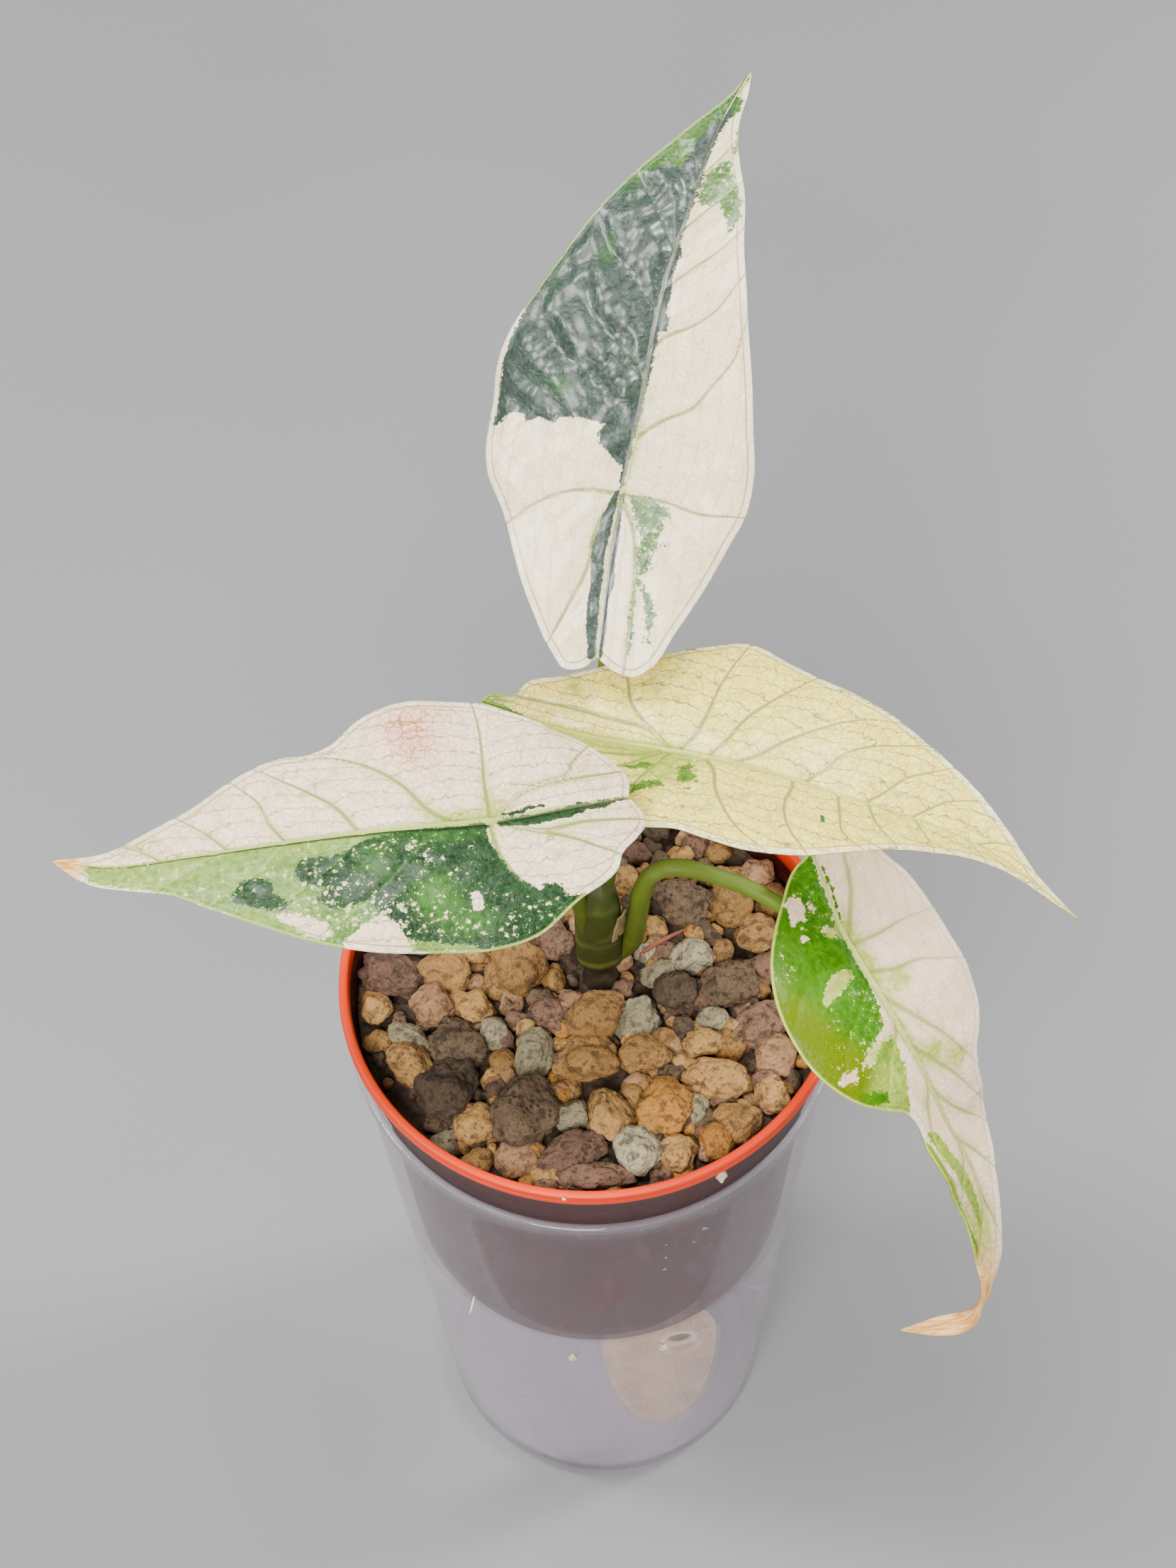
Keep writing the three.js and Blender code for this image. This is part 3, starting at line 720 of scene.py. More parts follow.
@dataclass
class ClearCup:
    """The clear tapered cup with a rolled rim and a rounded foot."""

    base: float = 31.9
    rim: float = 43.2
    height: float = 132.4
    wall: float = 0.8
    floor: float = 1.2
    bead: float = 0.85
    recess: float = 0.5
    bend: float = 3.4
    sides: int = 160

    def radius(self, z: float) -> float:
        """Outer radius of the wall at a height."""
        return self.base + (self.rim - self.base) * z / self.height

    def profile(self) -> list[Point]:
        """The cup's section, from the middle of its underside round to the middle of its floor.

        Returns:
            Radius and height of each corner.
        """
        base, rim, high, wall = self.base, self.rim, self.height, self.wall
        outside = [(0.0, self.recess, 0.0), (base - 6, self.recess, 1.0), (base - 4, 0.0, 1.0)]
        outside += [(base - 1.1, 0.15, 1.6), (self.radius(self.bend), self.bend, 1.2)]
        outside += [(self.radius(z), z, 0.0) for z in (*np.linspace(10, high - 6, 14), high - 1.1)]
        angles = np.radians(np.linspace(-45, 225, 13))
        rolled = [(rim + self.bead * math.cos(a), high + self.bead * math.sin(a), 0.0) for a in angles]
        inner = [(self.radius(z) - wall, z, 0.0) for z in np.linspace(high - 1.4, 10, 15)]
        inner += [(self.radius(self.bend) - wall, self.bend + 0.4, 1.8), (base - wall - 2.2, self.floor, 1.4)]
        return rounded([*outside, *rolled, *inner, (0.0, self.floor, 0.0)])

    def build(self) -> None:
        """Makes the cup."""
        points, faces = turned(self.profile(), self.sides)
        make_piece("cup_shell", points, faces, ClearPlastic().material(), ["clear_cup"])


@dataclass(frozen=True)
class PotPlastic:
    """Satin terracotta coloured plastic, a little dusty, with faint turned lines; the dark maroon below the
    lip outside is painted shade.
    """

    lip: str = "e43702"
    # Dark maroon for the outside below the lip: painted shade on the one orange plastic.
    wall: str = "390d0b"
    dusty: str = "9a4630"
    specked: str = "d98a6c"
    ior: float = 1.48
    shine: float = 0.3

    def material(self) -> bpy.types.Material:
        """Makes the plastic.

        Returns:
            The material.
        """
        tree = Tree("pot_plastic")
        where = tree.position()
        dust = tree.noise(where, 90.0, 4.0).ease(0.45, 0.75)
        lines = tree.noise(tree.scaled(where, (0.03, 0.03, 1)), 900.0)
        specks = tree.noise(where, 1500.0).ease(0.62, 0.72)
        # Marks the outside below the lip, where the wall colour is painted shade.
        below = tree.number("below")
        color = tree.layers(
            self.lip, (below, self.wall), (dust * 0.15, self.dusty), (specks * 0.12, self.specked))
        return tree.surface({
            "Base Color": color, "Roughness": 0.36 + dust * 0.16 + below * 0.1, "IOR": self.ior,
            "Specular IOR Level": self.shine, "Normal": tree.bump(lines * 0.7 + specks * 0.3, 0.03),
        })


@dataclass
class NurseryPot:
    """The tapered pot with a rolled lip, a collar and drain holes."""

    top: float = 147.1
    lip: float = 45.0
    collar: float = 131.5
    collar_radius: float = 41.9
    collar_slope: float = 2.4 / 12.7
    foot: float = 71.3
    foot_radius: float = 35.6
    flare: float = 5.0
    wall: float = 1.0
    floor: float = 1.2
    holes: int = 6
    hole_ring: float = 25.3
    hole_radius: float = 4.5
    first_hole: float = -65.5
    sides: int = 160

    def collar_at(self, z: float) -> float:
        """Outer radius of the collar at a height."""
        return self.collar_radius + (z - self.collar) * self.collar_slope

    def inside(self, z: float) -> float:
        """Inner radius at a height.

        Args:
            z: the height.

        Returns:
            The radius.
        """
        if z >= self.collar:
            return self.collar_at(z) - self.wall
        share = (z - self.foot) / (self.collar - self.foot)
        return self.foot_radius + share * self.flare - self.wall

    def profile(self) -> list[Point]:
        """The pot's section, from the middle of its underside round to the middle of its floor.

        Returns:
            Radius and height of each corner.
        """
        top, lip, foot, collar, wall = self.top, self.lip, self.foot, self.collar, self.wall
        inner, foot_radius = foot + self.floor, self.foot_radius
        outside = [(0.0, foot, 0.0), (foot_radius - 4, foot, 0.0), (foot_radius, foot, 2.2)]
        outside += [(self.inside(z) + wall, z, 0.0) for z in np.linspace(foot + 8, collar - 4, 10)]
        outside += [(self.inside(collar - 0.1) + wall, collar - 0.8, 0.3)]
        outside += [(self.collar_at(collar), collar, 0.4)]
        outside += [(self.collar_at(z), z, 0.0) for z in (136.0, 140.0)]
        under = top - 2.8
        rolled = [
            (self.collar_at(under), under, 0.3), (lip - 0.1, top - 2.4, 0.5), (lip, top - 1.6, 0.2),
            (lip - 0.25, top - 1.25, 0.2), (lip - 0.1, top - 0.1, 0.6), (lip - 1.7, top, 0.6),
            (lip - 2.0, top - 1.6, 0.8),
        ]
        down = [(self.collar_at(z) - wall, z, 0.0) for z in (143.0, 138.0)]
        down += [(self.collar_at(collar + 0.8) - wall, collar + 0.8, 0.4)]
        down += [(self.inside(z), z, 0.0) for z in np.linspace(collar - 4, inner + 8, 8)]
        down += [(self.inside(inner) - 0.1, inner, 2.0), (foot_radius - 5, inner, 0.0), (0.0, inner, 0.0)]
        return rounded([*outside, *rolled, *down])

    def drilled(self, shell: bpy.types.Object) -> None:
        """Cuts the drain holes through the floor.

        Args:
            shell: the pot before it is cut.
        """
        for i in range(self.holes):
            angle = math.radians(self.first_hole + 360 * i / self.holes)
            x, y = self.hole_ring * math.cos(angle), self.hole_ring * math.sin(angle)
            low, high, r = self.foot - 3, self.foot + self.floor + 3, self.hole_radius
            points, faces = turned([(0, low), (r, low), (r, high), (0, high)], 40)
            mesh = bpy.data.meshes.new("drill")
            mesh.from_pydata(((points + [x, y, 0]) * MM).tolist(), [], faces)
            drill = bpy.data.objects.new("drill", mesh)
            bpy.context.scene.collection.objects.link(drill)
            cut = shell.modifiers.new("hole", "BOOLEAN")
            cut.operation, cut.solver, cut.object = "DIFFERENCE", "EXACT", drill
            settle(shell)
            bpy.data.objects.remove(drill)

    def build(self) -> None:
        """Makes the pot."""
        points, faces = turned(self.profile(), self.sides)
        material = PotPlastic().material()
        shell = make_piece("pot_shell", points, faces, material, ["nursery_pot"])
        self.drilled(shell)
        corners = np.empty(len(shell.data.vertices) * 3, np.float32)
        shell.data.vertices.foreach_get("co", corners)
        x, y, z = corners.reshape(-1, 3).T / MM
        high = self.top - 3
        outside = np.hypot(x, y) > np.interp(z, [self.collar, high], [30.0, self.collar_at(high) - 0.5])
        # Marks the outside below the lip for the pot's painted shade.
        paint(shell, below=ease(self.top - z, 2.2, 3.2) * outside)


def settle(piece: bpy.types.Object) -> None:
    """Turns a piece's modifiers into its mesh.

    Args:
        piece: the piece.
    """
    graph = bpy.context.evaluated_depsgraph_get()
    mesh = bpy.data.meshes.new_from_object(piece.evaluated_get(graph))
    piece.modifiers.clear()
    piece.data = mesh


@dataclass(frozen=True)
class Felt:
    """Felt of short crossed fibres, with a pale ring round its slit as a painted highlight and painted shade
    inside the slit.
    """

    pale: str = "c69e7e"
    damp: str = "a37c5e"
    fibre: str = "d4baa2"
    # Pale ring round the slit: a painted highlight.
    hem: str = "f6ece2"
    # Dark brown inside the slit: painted shade.
    slit_shade: str = "382619"

    def material(self) -> bpy.types.Material:
        """Makes the felt.

        Returns:
            The material.
        """
        tree = Tree("felt")
        where = tree.position()
        fibres = tree.noise(tree.scaled(where, (1, 1, 0.35)), 1800.0, 4.0)
        crossed = tree.noise(tree.scaled(where, (0.3, 1, 1)), 1500.0, 3.0)
        blotch = tree.noise(where, 120.0, 3.0).ease(0.35, 0.7)
        color = tree.layers(
            self.pale, (blotch, self.damp), (fibres.ease(0.4, 0.7) * 0.5, self.fibre),
            (tree.number("hem") * 0.75, self.hem), (tree.number("slit").ease(0.35, 0.65), self.slit_shade))
        return tree.surface({
            "Base Color": color, "Roughness": 0.95, "Sheen Weight": 0.35, "Sheen Roughness": 0.6,
            "Normal": tree.bump(fibres * 0.6 + crossed * 0.4, 0.25),
        })


@dataclass(frozen=True)
class Slit:
    """An oval slit in the wick: its middle, its half length and half height, and its tilt in radians."""

    x: float = 14.6
    z: float = 49.6
    half_length: float = 2.5
    half_height: float = 1.8
    tilt: float = 0.50

    def ring(self, x: Array, z: Array) -> Array:
        """Distance from the middle, where 1 is the slit's border.

        Args:
            x: places towards +X.
            z: their heights.

        Returns:
            The distances.
        """
        c, s = math.cos(self.tilt), math.sin(self.tilt)
        along = (x - self.x) * c + (z - self.z) * s
        away = (z - self.z) * c - (x - self.x) * s
        return np.hypot(along / self.half_length, away / self.half_height)


@dataclass
class Wick:
    """The strip of felt that hangs from the pot's floor, with a slit near its top."""

    x: float = 10.6
    y: float = -23.6
    top: float = 72.5
    bottom: float = 8.0
    thickness: float = 1.6
    neck: float = 7.0
    width: float = 22.5
    neck_length: float = 6.0
    shoulder: float = 12.0
    widest: float = 22.0
    taper: float = 40.0
    slit: Slit = Slit()
    rows: int = 220
    columns: int = 60

    def half_width(self, z: Array) -> Array:
        """Half of the strip's width at each height.

        Args:
            z: the heights.

        Returns:
            The half widths.
        """
        half, neck = self.width / 2, self.neck / 2
        upper = [(neck, self.neck_length), (neck, self.shoulder), (half, self.shoulder), (half, self.widest)]
        lower = [(half, self.widest), (half, self.taper), (self.width / 3, self.top - self.bottom)]
        lower += [(0.0, self.top - self.bottom)]
        t = np.linspace(0, 1, 60)[:, None]
        curve = [(1 - t) ** 3 * np.array(a) + 3 * t * (1 - t) ** 2 * np.array(b)
                 + 3 * t * t * (1 - t) * np.array(c) + t ** 3 * np.array(d) for a, b, c, d in (upper, lower)]
        line = np.vstack([[(neck, 0.0)], *curve])
        return np.interp(self.top - z, line[:, 1], line[:, 0])

    def build(self) -> None:
        """Makes the wick."""
        heights = np.linspace(self.top, self.bottom + 0.15, self.rows)
        shares = np.linspace(-1, 1, self.columns)
        z = np.repeat(heights, self.columns)
        x = (self.half_width(heights)[:, None] * shares[None, :]).ravel()
        sway = 0.35 * np.sin(z / 9.0) + 0.25 * np.sin(x / 4.0 + z / 13.0)
        sway *= ease(self.top - z, 4, 16)
        edge = np.minimum(1, 0.25 + (1 - np.abs(np.tile(shares, self.rows))) * 6)
        half = self.thickness / 2 * 0.9 * edge
        ring = self.slit.ring(self.x + x, z)
        lip = 0.45 * np.exp(-((ring - 1.25) / 0.3) ** 2) - 0.9 * (1 - ease(ring, 0.6, 1.1))
        front = np.column_stack([self.x + x, self.y - half + sway - lip, z])
        back = np.column_stack([self.x + x, self.y + half + sway, z])
        faces = strip_faces(self.columns, self.rows, 1, self.columns)
        strip = make_piece("felt_strip", np.vstack([front, back]), faces, Felt().material(), ["wick"])
        hidden = np.zeros(len(x))
        # The slit and hem values carry the painted shade inside the slit and the painted highlight round it.
        paint(strip, slit=np.concatenate([1 - ease(ring, 0.7, 1.15), hidden]),
              hem=np.concatenate([np.exp(-((ring - 1.3) / 0.22) ** 2), hidden]))
        step = heights[0] - heights[1]
        area = float((2 * self.half_width(heights) * step).sum()) * MM * MM


@dataclass(frozen=True)
class GrainFinish:
    """Dull matter with a fine grain between two display colours."""

    name: str
    low: str
    high: str
    scale: float
    roughness: float
    relief: float
    stretch: tuple[float, float, float] | None = None
    contrast: Point | None = None

    def material(self) -> bpy.types.Material:
        """Makes the matter.

        Returns:
            The material.
        """
        tree = Tree(self.name)
        where = tree.scaled(tree.position(), self.stretch) if self.stretch else tree.position()
        grain = tree.noise(where, self.scale, 3.0)
        share = grain.ease(*self.contrast) if self.contrast else grain
        return tree.surface({"Base Color": tree.mix(share, self.low, self.high), "Roughness": self.roughness,
                             "Normal": tree.bump(grain, self.relief)})


@dataclass(frozen=True)
class WaterFinish:
    """Clear water."""

    ior: float = 1.33
    density: float = 0.55

    def material(self) -> bpy.types.Material:
        """Makes the water.

        Returns:
            The material.
        """
        tree = Tree("water")
        haze = tree.noise(tree.position(), 900.0)
        return tree.surface({"Base Color": (1, 1, 1, 1), "Roughness": haze * 0.04, "Transmission Weight": 1.0,
                             "IOR": self.ior, "Alpha": self.density})


@dataclass(frozen=True)
class Litter:
    """Stray crumbs of pumice and drops of water on the cup: the middle and the size of each."""

    crumbs: Sequence[tuple[float, float, float, float]] = (
        (21.1, -39.0, 142.6, 0.9), (-6.1, -37.8, 69.8, 0.75), (11.1, -36.7, 70.8, 0.85),
        (-6.0, -44.9, 147.3, 0.35),
    )
    drops: Sequence[tuple[float, float, float, float]] = (
        (18.6, -37.9, 120.6, 0.5), (16.6, -38.4, 116.7, 0.3), (11.6, -40.5, 120.1, 0.25),
        (11.6, -40.0, 114.0, 0.3), (11.4, -39.4, 108.2, 0.4), (20.4, -37.8, 128.0, 0.25),
    )
    pumice: GrainFinish = GrainFinish("pale_crumb", "b9a085", "e8d8c2", 2600.0, 0.9, 0.2,
                                      contrast=(0.35, 0.65))
    seed: int = 5

    def build(self) -> None:
        """Makes the crumbs and the drops."""
        chance = np.random.default_rng(self.seed)
        unit, faces = GravelBed.sphere(3)
        lumps = []
        for x, y, z, size in self.crumbs:
            waves = chance.normal(size=(8, 3)) * 3.0
            factor = 1 + 0.07 * np.sin(unit @ waves.T + chance.uniform(0, 6.3, 8)).sum(axis=1)
            lumps.append((unit * factor[:, None] * size + [x, y, z], faces))
        points, rows = joined(lumps)
        make_piece("stray_crumbs", points, rows, self.pumice.material())
        beads = [(unit * [size, size * 0.6, size * 1.2] + [x, y, z], faces) for x, y, z, size in self.drops]
        points, rows = joined(beads)
        make_piece("water_drops", points, rows, WaterFinish().material())


# Gravel

class Rock(Enum):
    """The kinds of stone, with light, middle and dark display colours."""

    TAN = ("b2884e", "8b6532", "49331d")
    OCHRE = ("bc843a", "986424", "563616")
    ROSE = ("b08660", "8c6746", "543a28")
    DARK = ("6a553e", "483727", "241b13")
    MAROON = ("84624a", "604536", "33231a")
    GREY = ("aca183", "837a5e", "4b4534")


LAVA = (Rock.MAROON, Rock.DARK)
LARGE_STONES: Sequence[tuple[float, float, float, float, float]] = [
    (-35.5, 5, 11.4, 8.2, -15), (-26, 5, 9.5, 7.5, -20), (-14, 5.5, 10.1, 9.3, 0), (-28, -2, 7.8, 7.1, 0),
    (-38.5, -2, 5.1, 5.5, 0), (-21.5, -2, 8.9, 5.8, -20), (1, -5.5, 10.4, 7.9, 30), (8, -6, 8.4, 6.3, 60),
    (-24.5, -9.5, 10.1, 8.2, -60), (-32.5, -14.5, 9.6, 6.8, -60), (-32.5, -8, 7.6, 5.5, -40),
    (-10.5, -12.5, 9.6, 6.2, 80), (-1.5, -14, 10.4, 8.5, -5), (9, -13.5, 8.4, 6.6, 15),
    (-26, -19.5, 10.6, 9.6, 60), (-21.5, -26, 6.6, 6.8, 30), (-12, -24.5, 12.7, 10.3, 50),
    (2, -25.5, 9.1, 8.2, 70), (11.5, -25, 9.6, 10.1, 0), (-4, -25.5, 5.8, 6, 0), (21.5, -19, 13.4, 6.8, -10),
    (25, -27.5, 8.4, 6.8, 0), (31, -22.5, 5.8, 5.8, 0), (17.5, -25, 5.3, 5.5, 0), (7, -33, 7.6, 7.5, 90),
    (-4.5, -32.5, 11.4, 7.5, 20), (-1, -38, 11.6, 5.5, 0), (14, -33.5, 5.8, 6, 0), (20.5, -31.5, 5.8, 6, 0),
    (18, 6.5, 6.8, 6.6, -45), (25, 0, 9.1, 8.2, 0), (15, -1.5, 7.6, 6.6, 90), (29.5, -8, 10.6, 7.1, 20),
    (17, 18, 10.6, 7.7, -10), (31, 24, 5.3, 5.5, 0), (32, -15, 7.8, 6.3, 80), (-6.5, 11, 7.6, 6, 80),
    (30, 11, 6.6, 6.3, 0), (19.5, -12, 6.1, 4.9, 0), (-17.5, -8, 5.3, 5.5, 0),
]
LARGE_KINDS = (
    "MAROON TAN TAN ROSE TAN TAN TAN GREY DARK TAN GREY GREY TAN TAN DARK TAN DARK TAN OCHRE GREY TAN TAN "
    "TAN GREY GREY MAROON MAROON TAN OCHRE GREY DARK DARK MAROON DARK ROSE ROSE MAROON TAN TAN GREY"
).split()
SMALL_KINDS = [Rock.TAN, Rock.TAN, Rock.TAN, Rock.ROSE, Rock.DARK, Rock.MAROON, Rock.GREY]
GRIT_KINDS = [Rock.TAN, Rock.TAN, Rock.ROSE, Rock.DARK, Rock.MAROON, Rock.DARK, Rock.OCHRE]


@dataclass(frozen=True)
class StoneFinish:
    """Porous stone with pits, grains and stains; the pits are darkened as painted shade, and lava's are
    darker and deeper.
    """

    rock: Rock

    def material(self) -> bpy.types.Material:
        """Makes the stone.

        Returns:
            The material.
        """
        light, middle, dark = self.rock.value
        # How strongly the pits are darkened as painted shade, and how deep the bump is.
        pit_shade, depth = (0.9, 0.50) if self.rock in LAVA else (0.7, 0.40)
        tree = Tree(f"stone_{self.rock.name.lower()}")
        where = tree.position()
        tone = tree.number("tone")
        broad = tree.noise(where, 300.0, 3.0)
        stains = tree.noise(tree.warped(where, 500.0, 0.0008), 560.0, 3.0)
        grain = tree.noise(where, 2000.0, 4.0)
        pit = tree.pits(where, 850.0).ease(0.10, 0.42)
        fine_pit = tree.pits(where, 2300.0).ease(0.08, 0.45)
        stained = stains.ease(0.50, 0.66)
        # The last two coats darken the pits and the fine pits, where the bump sinks the surface: painted
        # shade.
        color = tree.layers(
            middle, ((tone * 0.8 + broad * 0.8 - 0.45).ease(0.0, 0.8), light), (stained * 0.75, dark),
            (grain.ease(0.50, 0.75) * 0.45, dark), (grain.ease(0.30, 0.40) * -0.35 + 0.35, light),
            ((1 - pit) * broad.ease(0.35, 0.6) * pit_shade, dark), ((1 - fine_pit) * 0.4, dark))
        relief = grain * 0.35 + pit * 0.30 + fine_pit * 0.15 - stained * 0.2
        return tree.surface({"Base Color": color, "Roughness": 0.80 + grain * 0.15,
                             "Normal": tree.bump(relief, depth)})


@dataclass
class GravelBed:
    """The bed of mixed stones: larger ones where they show, and smaller ones by chance between them."""

    top: float = 139.6
    smallest: float = 4.2
    largest: float = 7.6
    reach: float = 39.5
    packing: float = 0.46
    tries: int = 1500
    seed: int = 29
    stem_foot: Point = (1.7, 3.3)
    stem_room: float = 5.0
    flatness: float = 0.42
    proud: float = 0.8
    facets: int = 10
    facet_depths: Point = (0.80, 1.08)
    sharpness: float = 11.0
    bluntest: float = 1.14
    waves: int = 9
    relief: Sequence[Point] = ((3.2, 0.030), (7.5, 0.016), (15.0, 0.009))
    lava_relief: float = 1.5
    large_skips: int = 15
    small_skips: int = 11
    grit: int = 420
    grit_reach: float = 40.5
    grit_room: float = 4.6
    grit_sizes: Point = (1.1, 2.3)
    gap: float = 0.3
    pot: NurseryPot = field(default_factory=NurseryPot)

    def __post_init__(self) -> None:
        """Prepares the blank stones and the chances for their faces."""
        self.chance = np.random.default_rng(self.seed)
        self.blanks = {level: self.sphere(level) for level in (2, 3, 4)}
        self.stones: dict[Rock, list[tuple[Array, Array, float]]] = {rock: [] for rock in Rock}

    @staticmethod
    def sphere(level: int) -> tuple[Array, Array]:
        """A ball of even triangles.

        Args:
            level: how often the triangles of an icosahedron are halved.

        Returns:
            The unit points and the faces.
        """
        gold = (1 + 5 ** 0.5) / 2
        points = [[-1, gold, 0], [1, gold, 0], [-1, -gold, 0], [1, -gold, 0], [0, -1, gold], [0, 1, gold]]
        points += [[0, -1, -gold], [0, 1, -gold], [gold, 0, -1], [gold, 0, 1], [-gold, 0, -1], [-gold, 0, 1]]
        faces = [(0, 11, 5), (0, 5, 1), (0, 1, 7), (0, 7, 10), (0, 10, 11), (1, 5, 9), (5, 11, 4)]
        faces += [(11, 10, 2), (10, 7, 6), (7, 1, 8), (3, 9, 4), (3, 4, 2), (3, 2, 6), (3, 6, 8)]
        faces += [(3, 8, 9), (4, 9, 5), (2, 4, 11), (6, 2, 10), (8, 6, 7), (9, 8, 1)]
        for _ in range(level):
            halves: dict[tuple[int, int], int] = {}
            finer = []

            def middle(a: int, b: int) -> int:
                """The number of the point between two others."""
                key = (min(a, b), max(a, b))
                if key not in halves:
                    halves[key] = len(points)
                    points.append([(points[a][k] + points[b][k]) / 2 for k in range(3)])
                return halves[key]

            for a, b, c in faces:
                ab, bc, ca = middle(a, b), middle(b, c), middle(c, a)
                finer += [(a, ab, ca), (b, bc, ab), (c, ca, bc), (ab, bc, ca)]
            faces = finer
        unit = np.array(points, float)
        return unit / np.linalg.norm(unit, axis=1)[:, None], np.array(faces)

    def weathered(self, unit: Array, rock: Rock) -> Array:
        """Distances from a stone's middle, for a blunt many-faced lump.

        Args:
            unit: the directions.
            rock: the kind of stone, as lava is rougher than the rest.

        Returns:
            One factor for each direction.
        """
        planes = self.chance.normal(size=(self.facets, 3))
        planes /= np.linalg.norm(planes, axis=1)[:, None]
        depths = self.chance.uniform(*self.facet_depths, self.facets)
        facing = np.maximum(unit @ planes.T, 0.02) / depths
        factor = (facing ** self.sharpness).sum(axis=1) ** (-1 / self.sharpness)
        factor = np.minimum(factor, self.bluntest)
        rough = self.lava_relief if rock in LAVA else 1.0
        for pitch, height in self.relief:
            waves = self.chance.normal(size=(self.waves, 3)) * pitch
            shifts = self.chance.uniform(0, 6.3, self.waves)
            factor += rough * height * np.sin(unit @ waves.T + shifts).sum(axis=1) * 0.75
        return factor

    def add_stone(self, spot: Sequence[float], half: Array, heading: float, rock: Rock, level: int) -> None:
        """Lays one stone.

        Args:
            spot: its middle.
            half: half of its length, width and height.
            heading: how far its length is turned, in degrees.
            rock: its kind.
            level: how fine its mesh is.
        """
        unit, faces = self.blanks[level]
        c, s = math.cos(math.radians(heading)), math.sin(math.radians(heading))
        points = unit * self.weathered(unit, rock)[:, None] * half * 1.04
        points = points @ np.array([[c, s, 0], [-s, c, 0], [0, 0, 1]]) + spot
        limit = self.pot.inside(min(spot[2], self.pot.top - 4)) - 0.25
        out = np.hypot(points[:, 0], points[:, 1])
        points[:, :2] *= np.minimum(1, limit / np.maximum(out, 1e-6))[:, None]
        self.stones[rock].append((points, faces, float(self.chance.uniform())))

    def lay_large(self, draws: Draws) -> None:
        """Lays the stones that the photograph shows one by one.

        Args:
            draws: the chances.
        """
        for (x, y, length, width, heading), kind in zip(LARGE_STONES, LARGE_KINDS):
            z = self.top + self.proud + draws()
            draws.skip(self.large_skips)
            half = np.array([length / 2, width / 2, self.flatness * width])
            self.add_stone((x, y, z), half, heading, Rock[kind], 4)

    def lay_small(self, draws: Draws) -> None:
        """Fills the spaces with smaller stones.

        Args:
            draws: the chances.
        """
        laid = [(x, y, (length + width) / 2) for x, y, length, width, _ in LARGE_STONES]
        small = []
        for _ in range(self.tries):
            distance = self.reach * math.sqrt(draws())
            bearing = 2 * math.pi * draws()
            size = self.smallest + (self.largest - self.smallest) * draws() ** 2
            x, y = distance * math.cos(bearing), distance * math.sin(bearing)
            near = any(math.hypot(px - x, py - y) <= self.packing * (size + other) for px, py, other in laid)
            to_stem = math.hypot(self.stem_foot[0] - x, self.stem_foot[1] - y)
            if near or to_stem < self.stem_room + size / 3:
                continue
            laid.append((x, y, size))
            small.append((x, y, size * 1.1, size * 0.9, 180 * draws()))
        for x, y, length, width, heading in small:
            z = self.top + 0.5 * draws()
            draws.skip(self.small_skips)
            half = np.array([length / 2, width / 2, self.flatness * width])
            rock = SMALL_KINDS[self.chance.integers(len(SMALL_KINDS))]
            self.add_stone((x, y, z), half, heading, rock, 3)

    def lay_grit(self) -> None:
        """Fills the spaces between the stones with small ones."""
        for _ in range(self.grit):
            distance = self.grit_reach * math.sqrt(self.chance.uniform())
            bearing = self.chance.uniform(0, 2 * math.pi)
            x, y = distance * math.cos(bearing), distance * math.sin(bearing)
            if math.hypot(x - self.stem_foot[0], y - self.stem_foot[1]) < self.grit_room:
                continue
            half = self.chance.uniform(*self.grit_sizes) * self.chance.uniform(0.75, 1.15, 3)
            z = self.top + self.chance.uniform(-0.9, 0.7)
            heading = self.chance.uniform(0, 360)
            self.add_stone((x, y, z), half, heading, GRIT_KINDS[self.chance.integers(len(GRIT_KINDS))], 2)

    def body(self) -> None:
        """Makes the mass of gravel under the stones that show, in the dark stone colour as painted shade in
        the gaps.
        """
        pot, gap = self.pot, self.gap
        low, surface = pot.foot + pot.floor + gap, self.top - 1.1
        profile = [(0.0, low), (pot.inside(low) - 2.4, low), (pot.inside(low + 3) - gap, low + 3)]
        profile += [(pot.inside(z) - gap, z) for z in (pot.collar - 0.7, pot.collar + 1, self.top - 1.2)]
        rim = pot.inside(self.top) - gap
        profile += [(r, surface) for r in np.linspace(rim - 0.1, 0.8, 60)] + [(0.0, surface)]
        points, faces = turned(profile, 140)
        lumps = np.sin(points[:, 0] * 1.9 + 1.3 * np.sin(points[:, 1] * 1.1)) * np.sin(points[:, 1] * 2.1)
        points[:, 2] += np.where(points[:, 2] > self.top - 1.15, 0.45 * lumps, 0)
        # The dark stone finish on the fill is painted shade where it shows between the stones.
        make_piece("gravel_fill", points, faces, StoneFinish(Rock.DARK).material(), ["gravel_bed"])

    def build(self) -> None:
        """Makes the bed."""
        self.body()
        draws = Draws(self.seed)
        self.lay_large(draws)
        self.lay_small(draws)
        self.lay_grit()
        for rock, stones in self.stones.items():
            points, faces = joined([(part, rows) for part, rows, _ in stones])
            material = StoneFinish(rock).material()
            piece = make_piece(f"stones_{rock.name.lower()}", points, faces, material)
            paint(piece, tone=np.concatenate([np.full(len(part), tone) for part, _, tone in stones]))


# Leaves

@dataclass(frozen=True)
class Patch:
    """A marking on the flattened blade: its outline as (across, along), and how ragged its border is."""

    outline: Sequence[Point]
    ragged: float = 0.4
    cut: bool = False


@dataclass(frozen=True)
class Spot:
    """A soft marking: its middle, its half width and half height, and its strength."""

    x: float
    y: float
    width: float
    height: float
    strength: float = 1.0


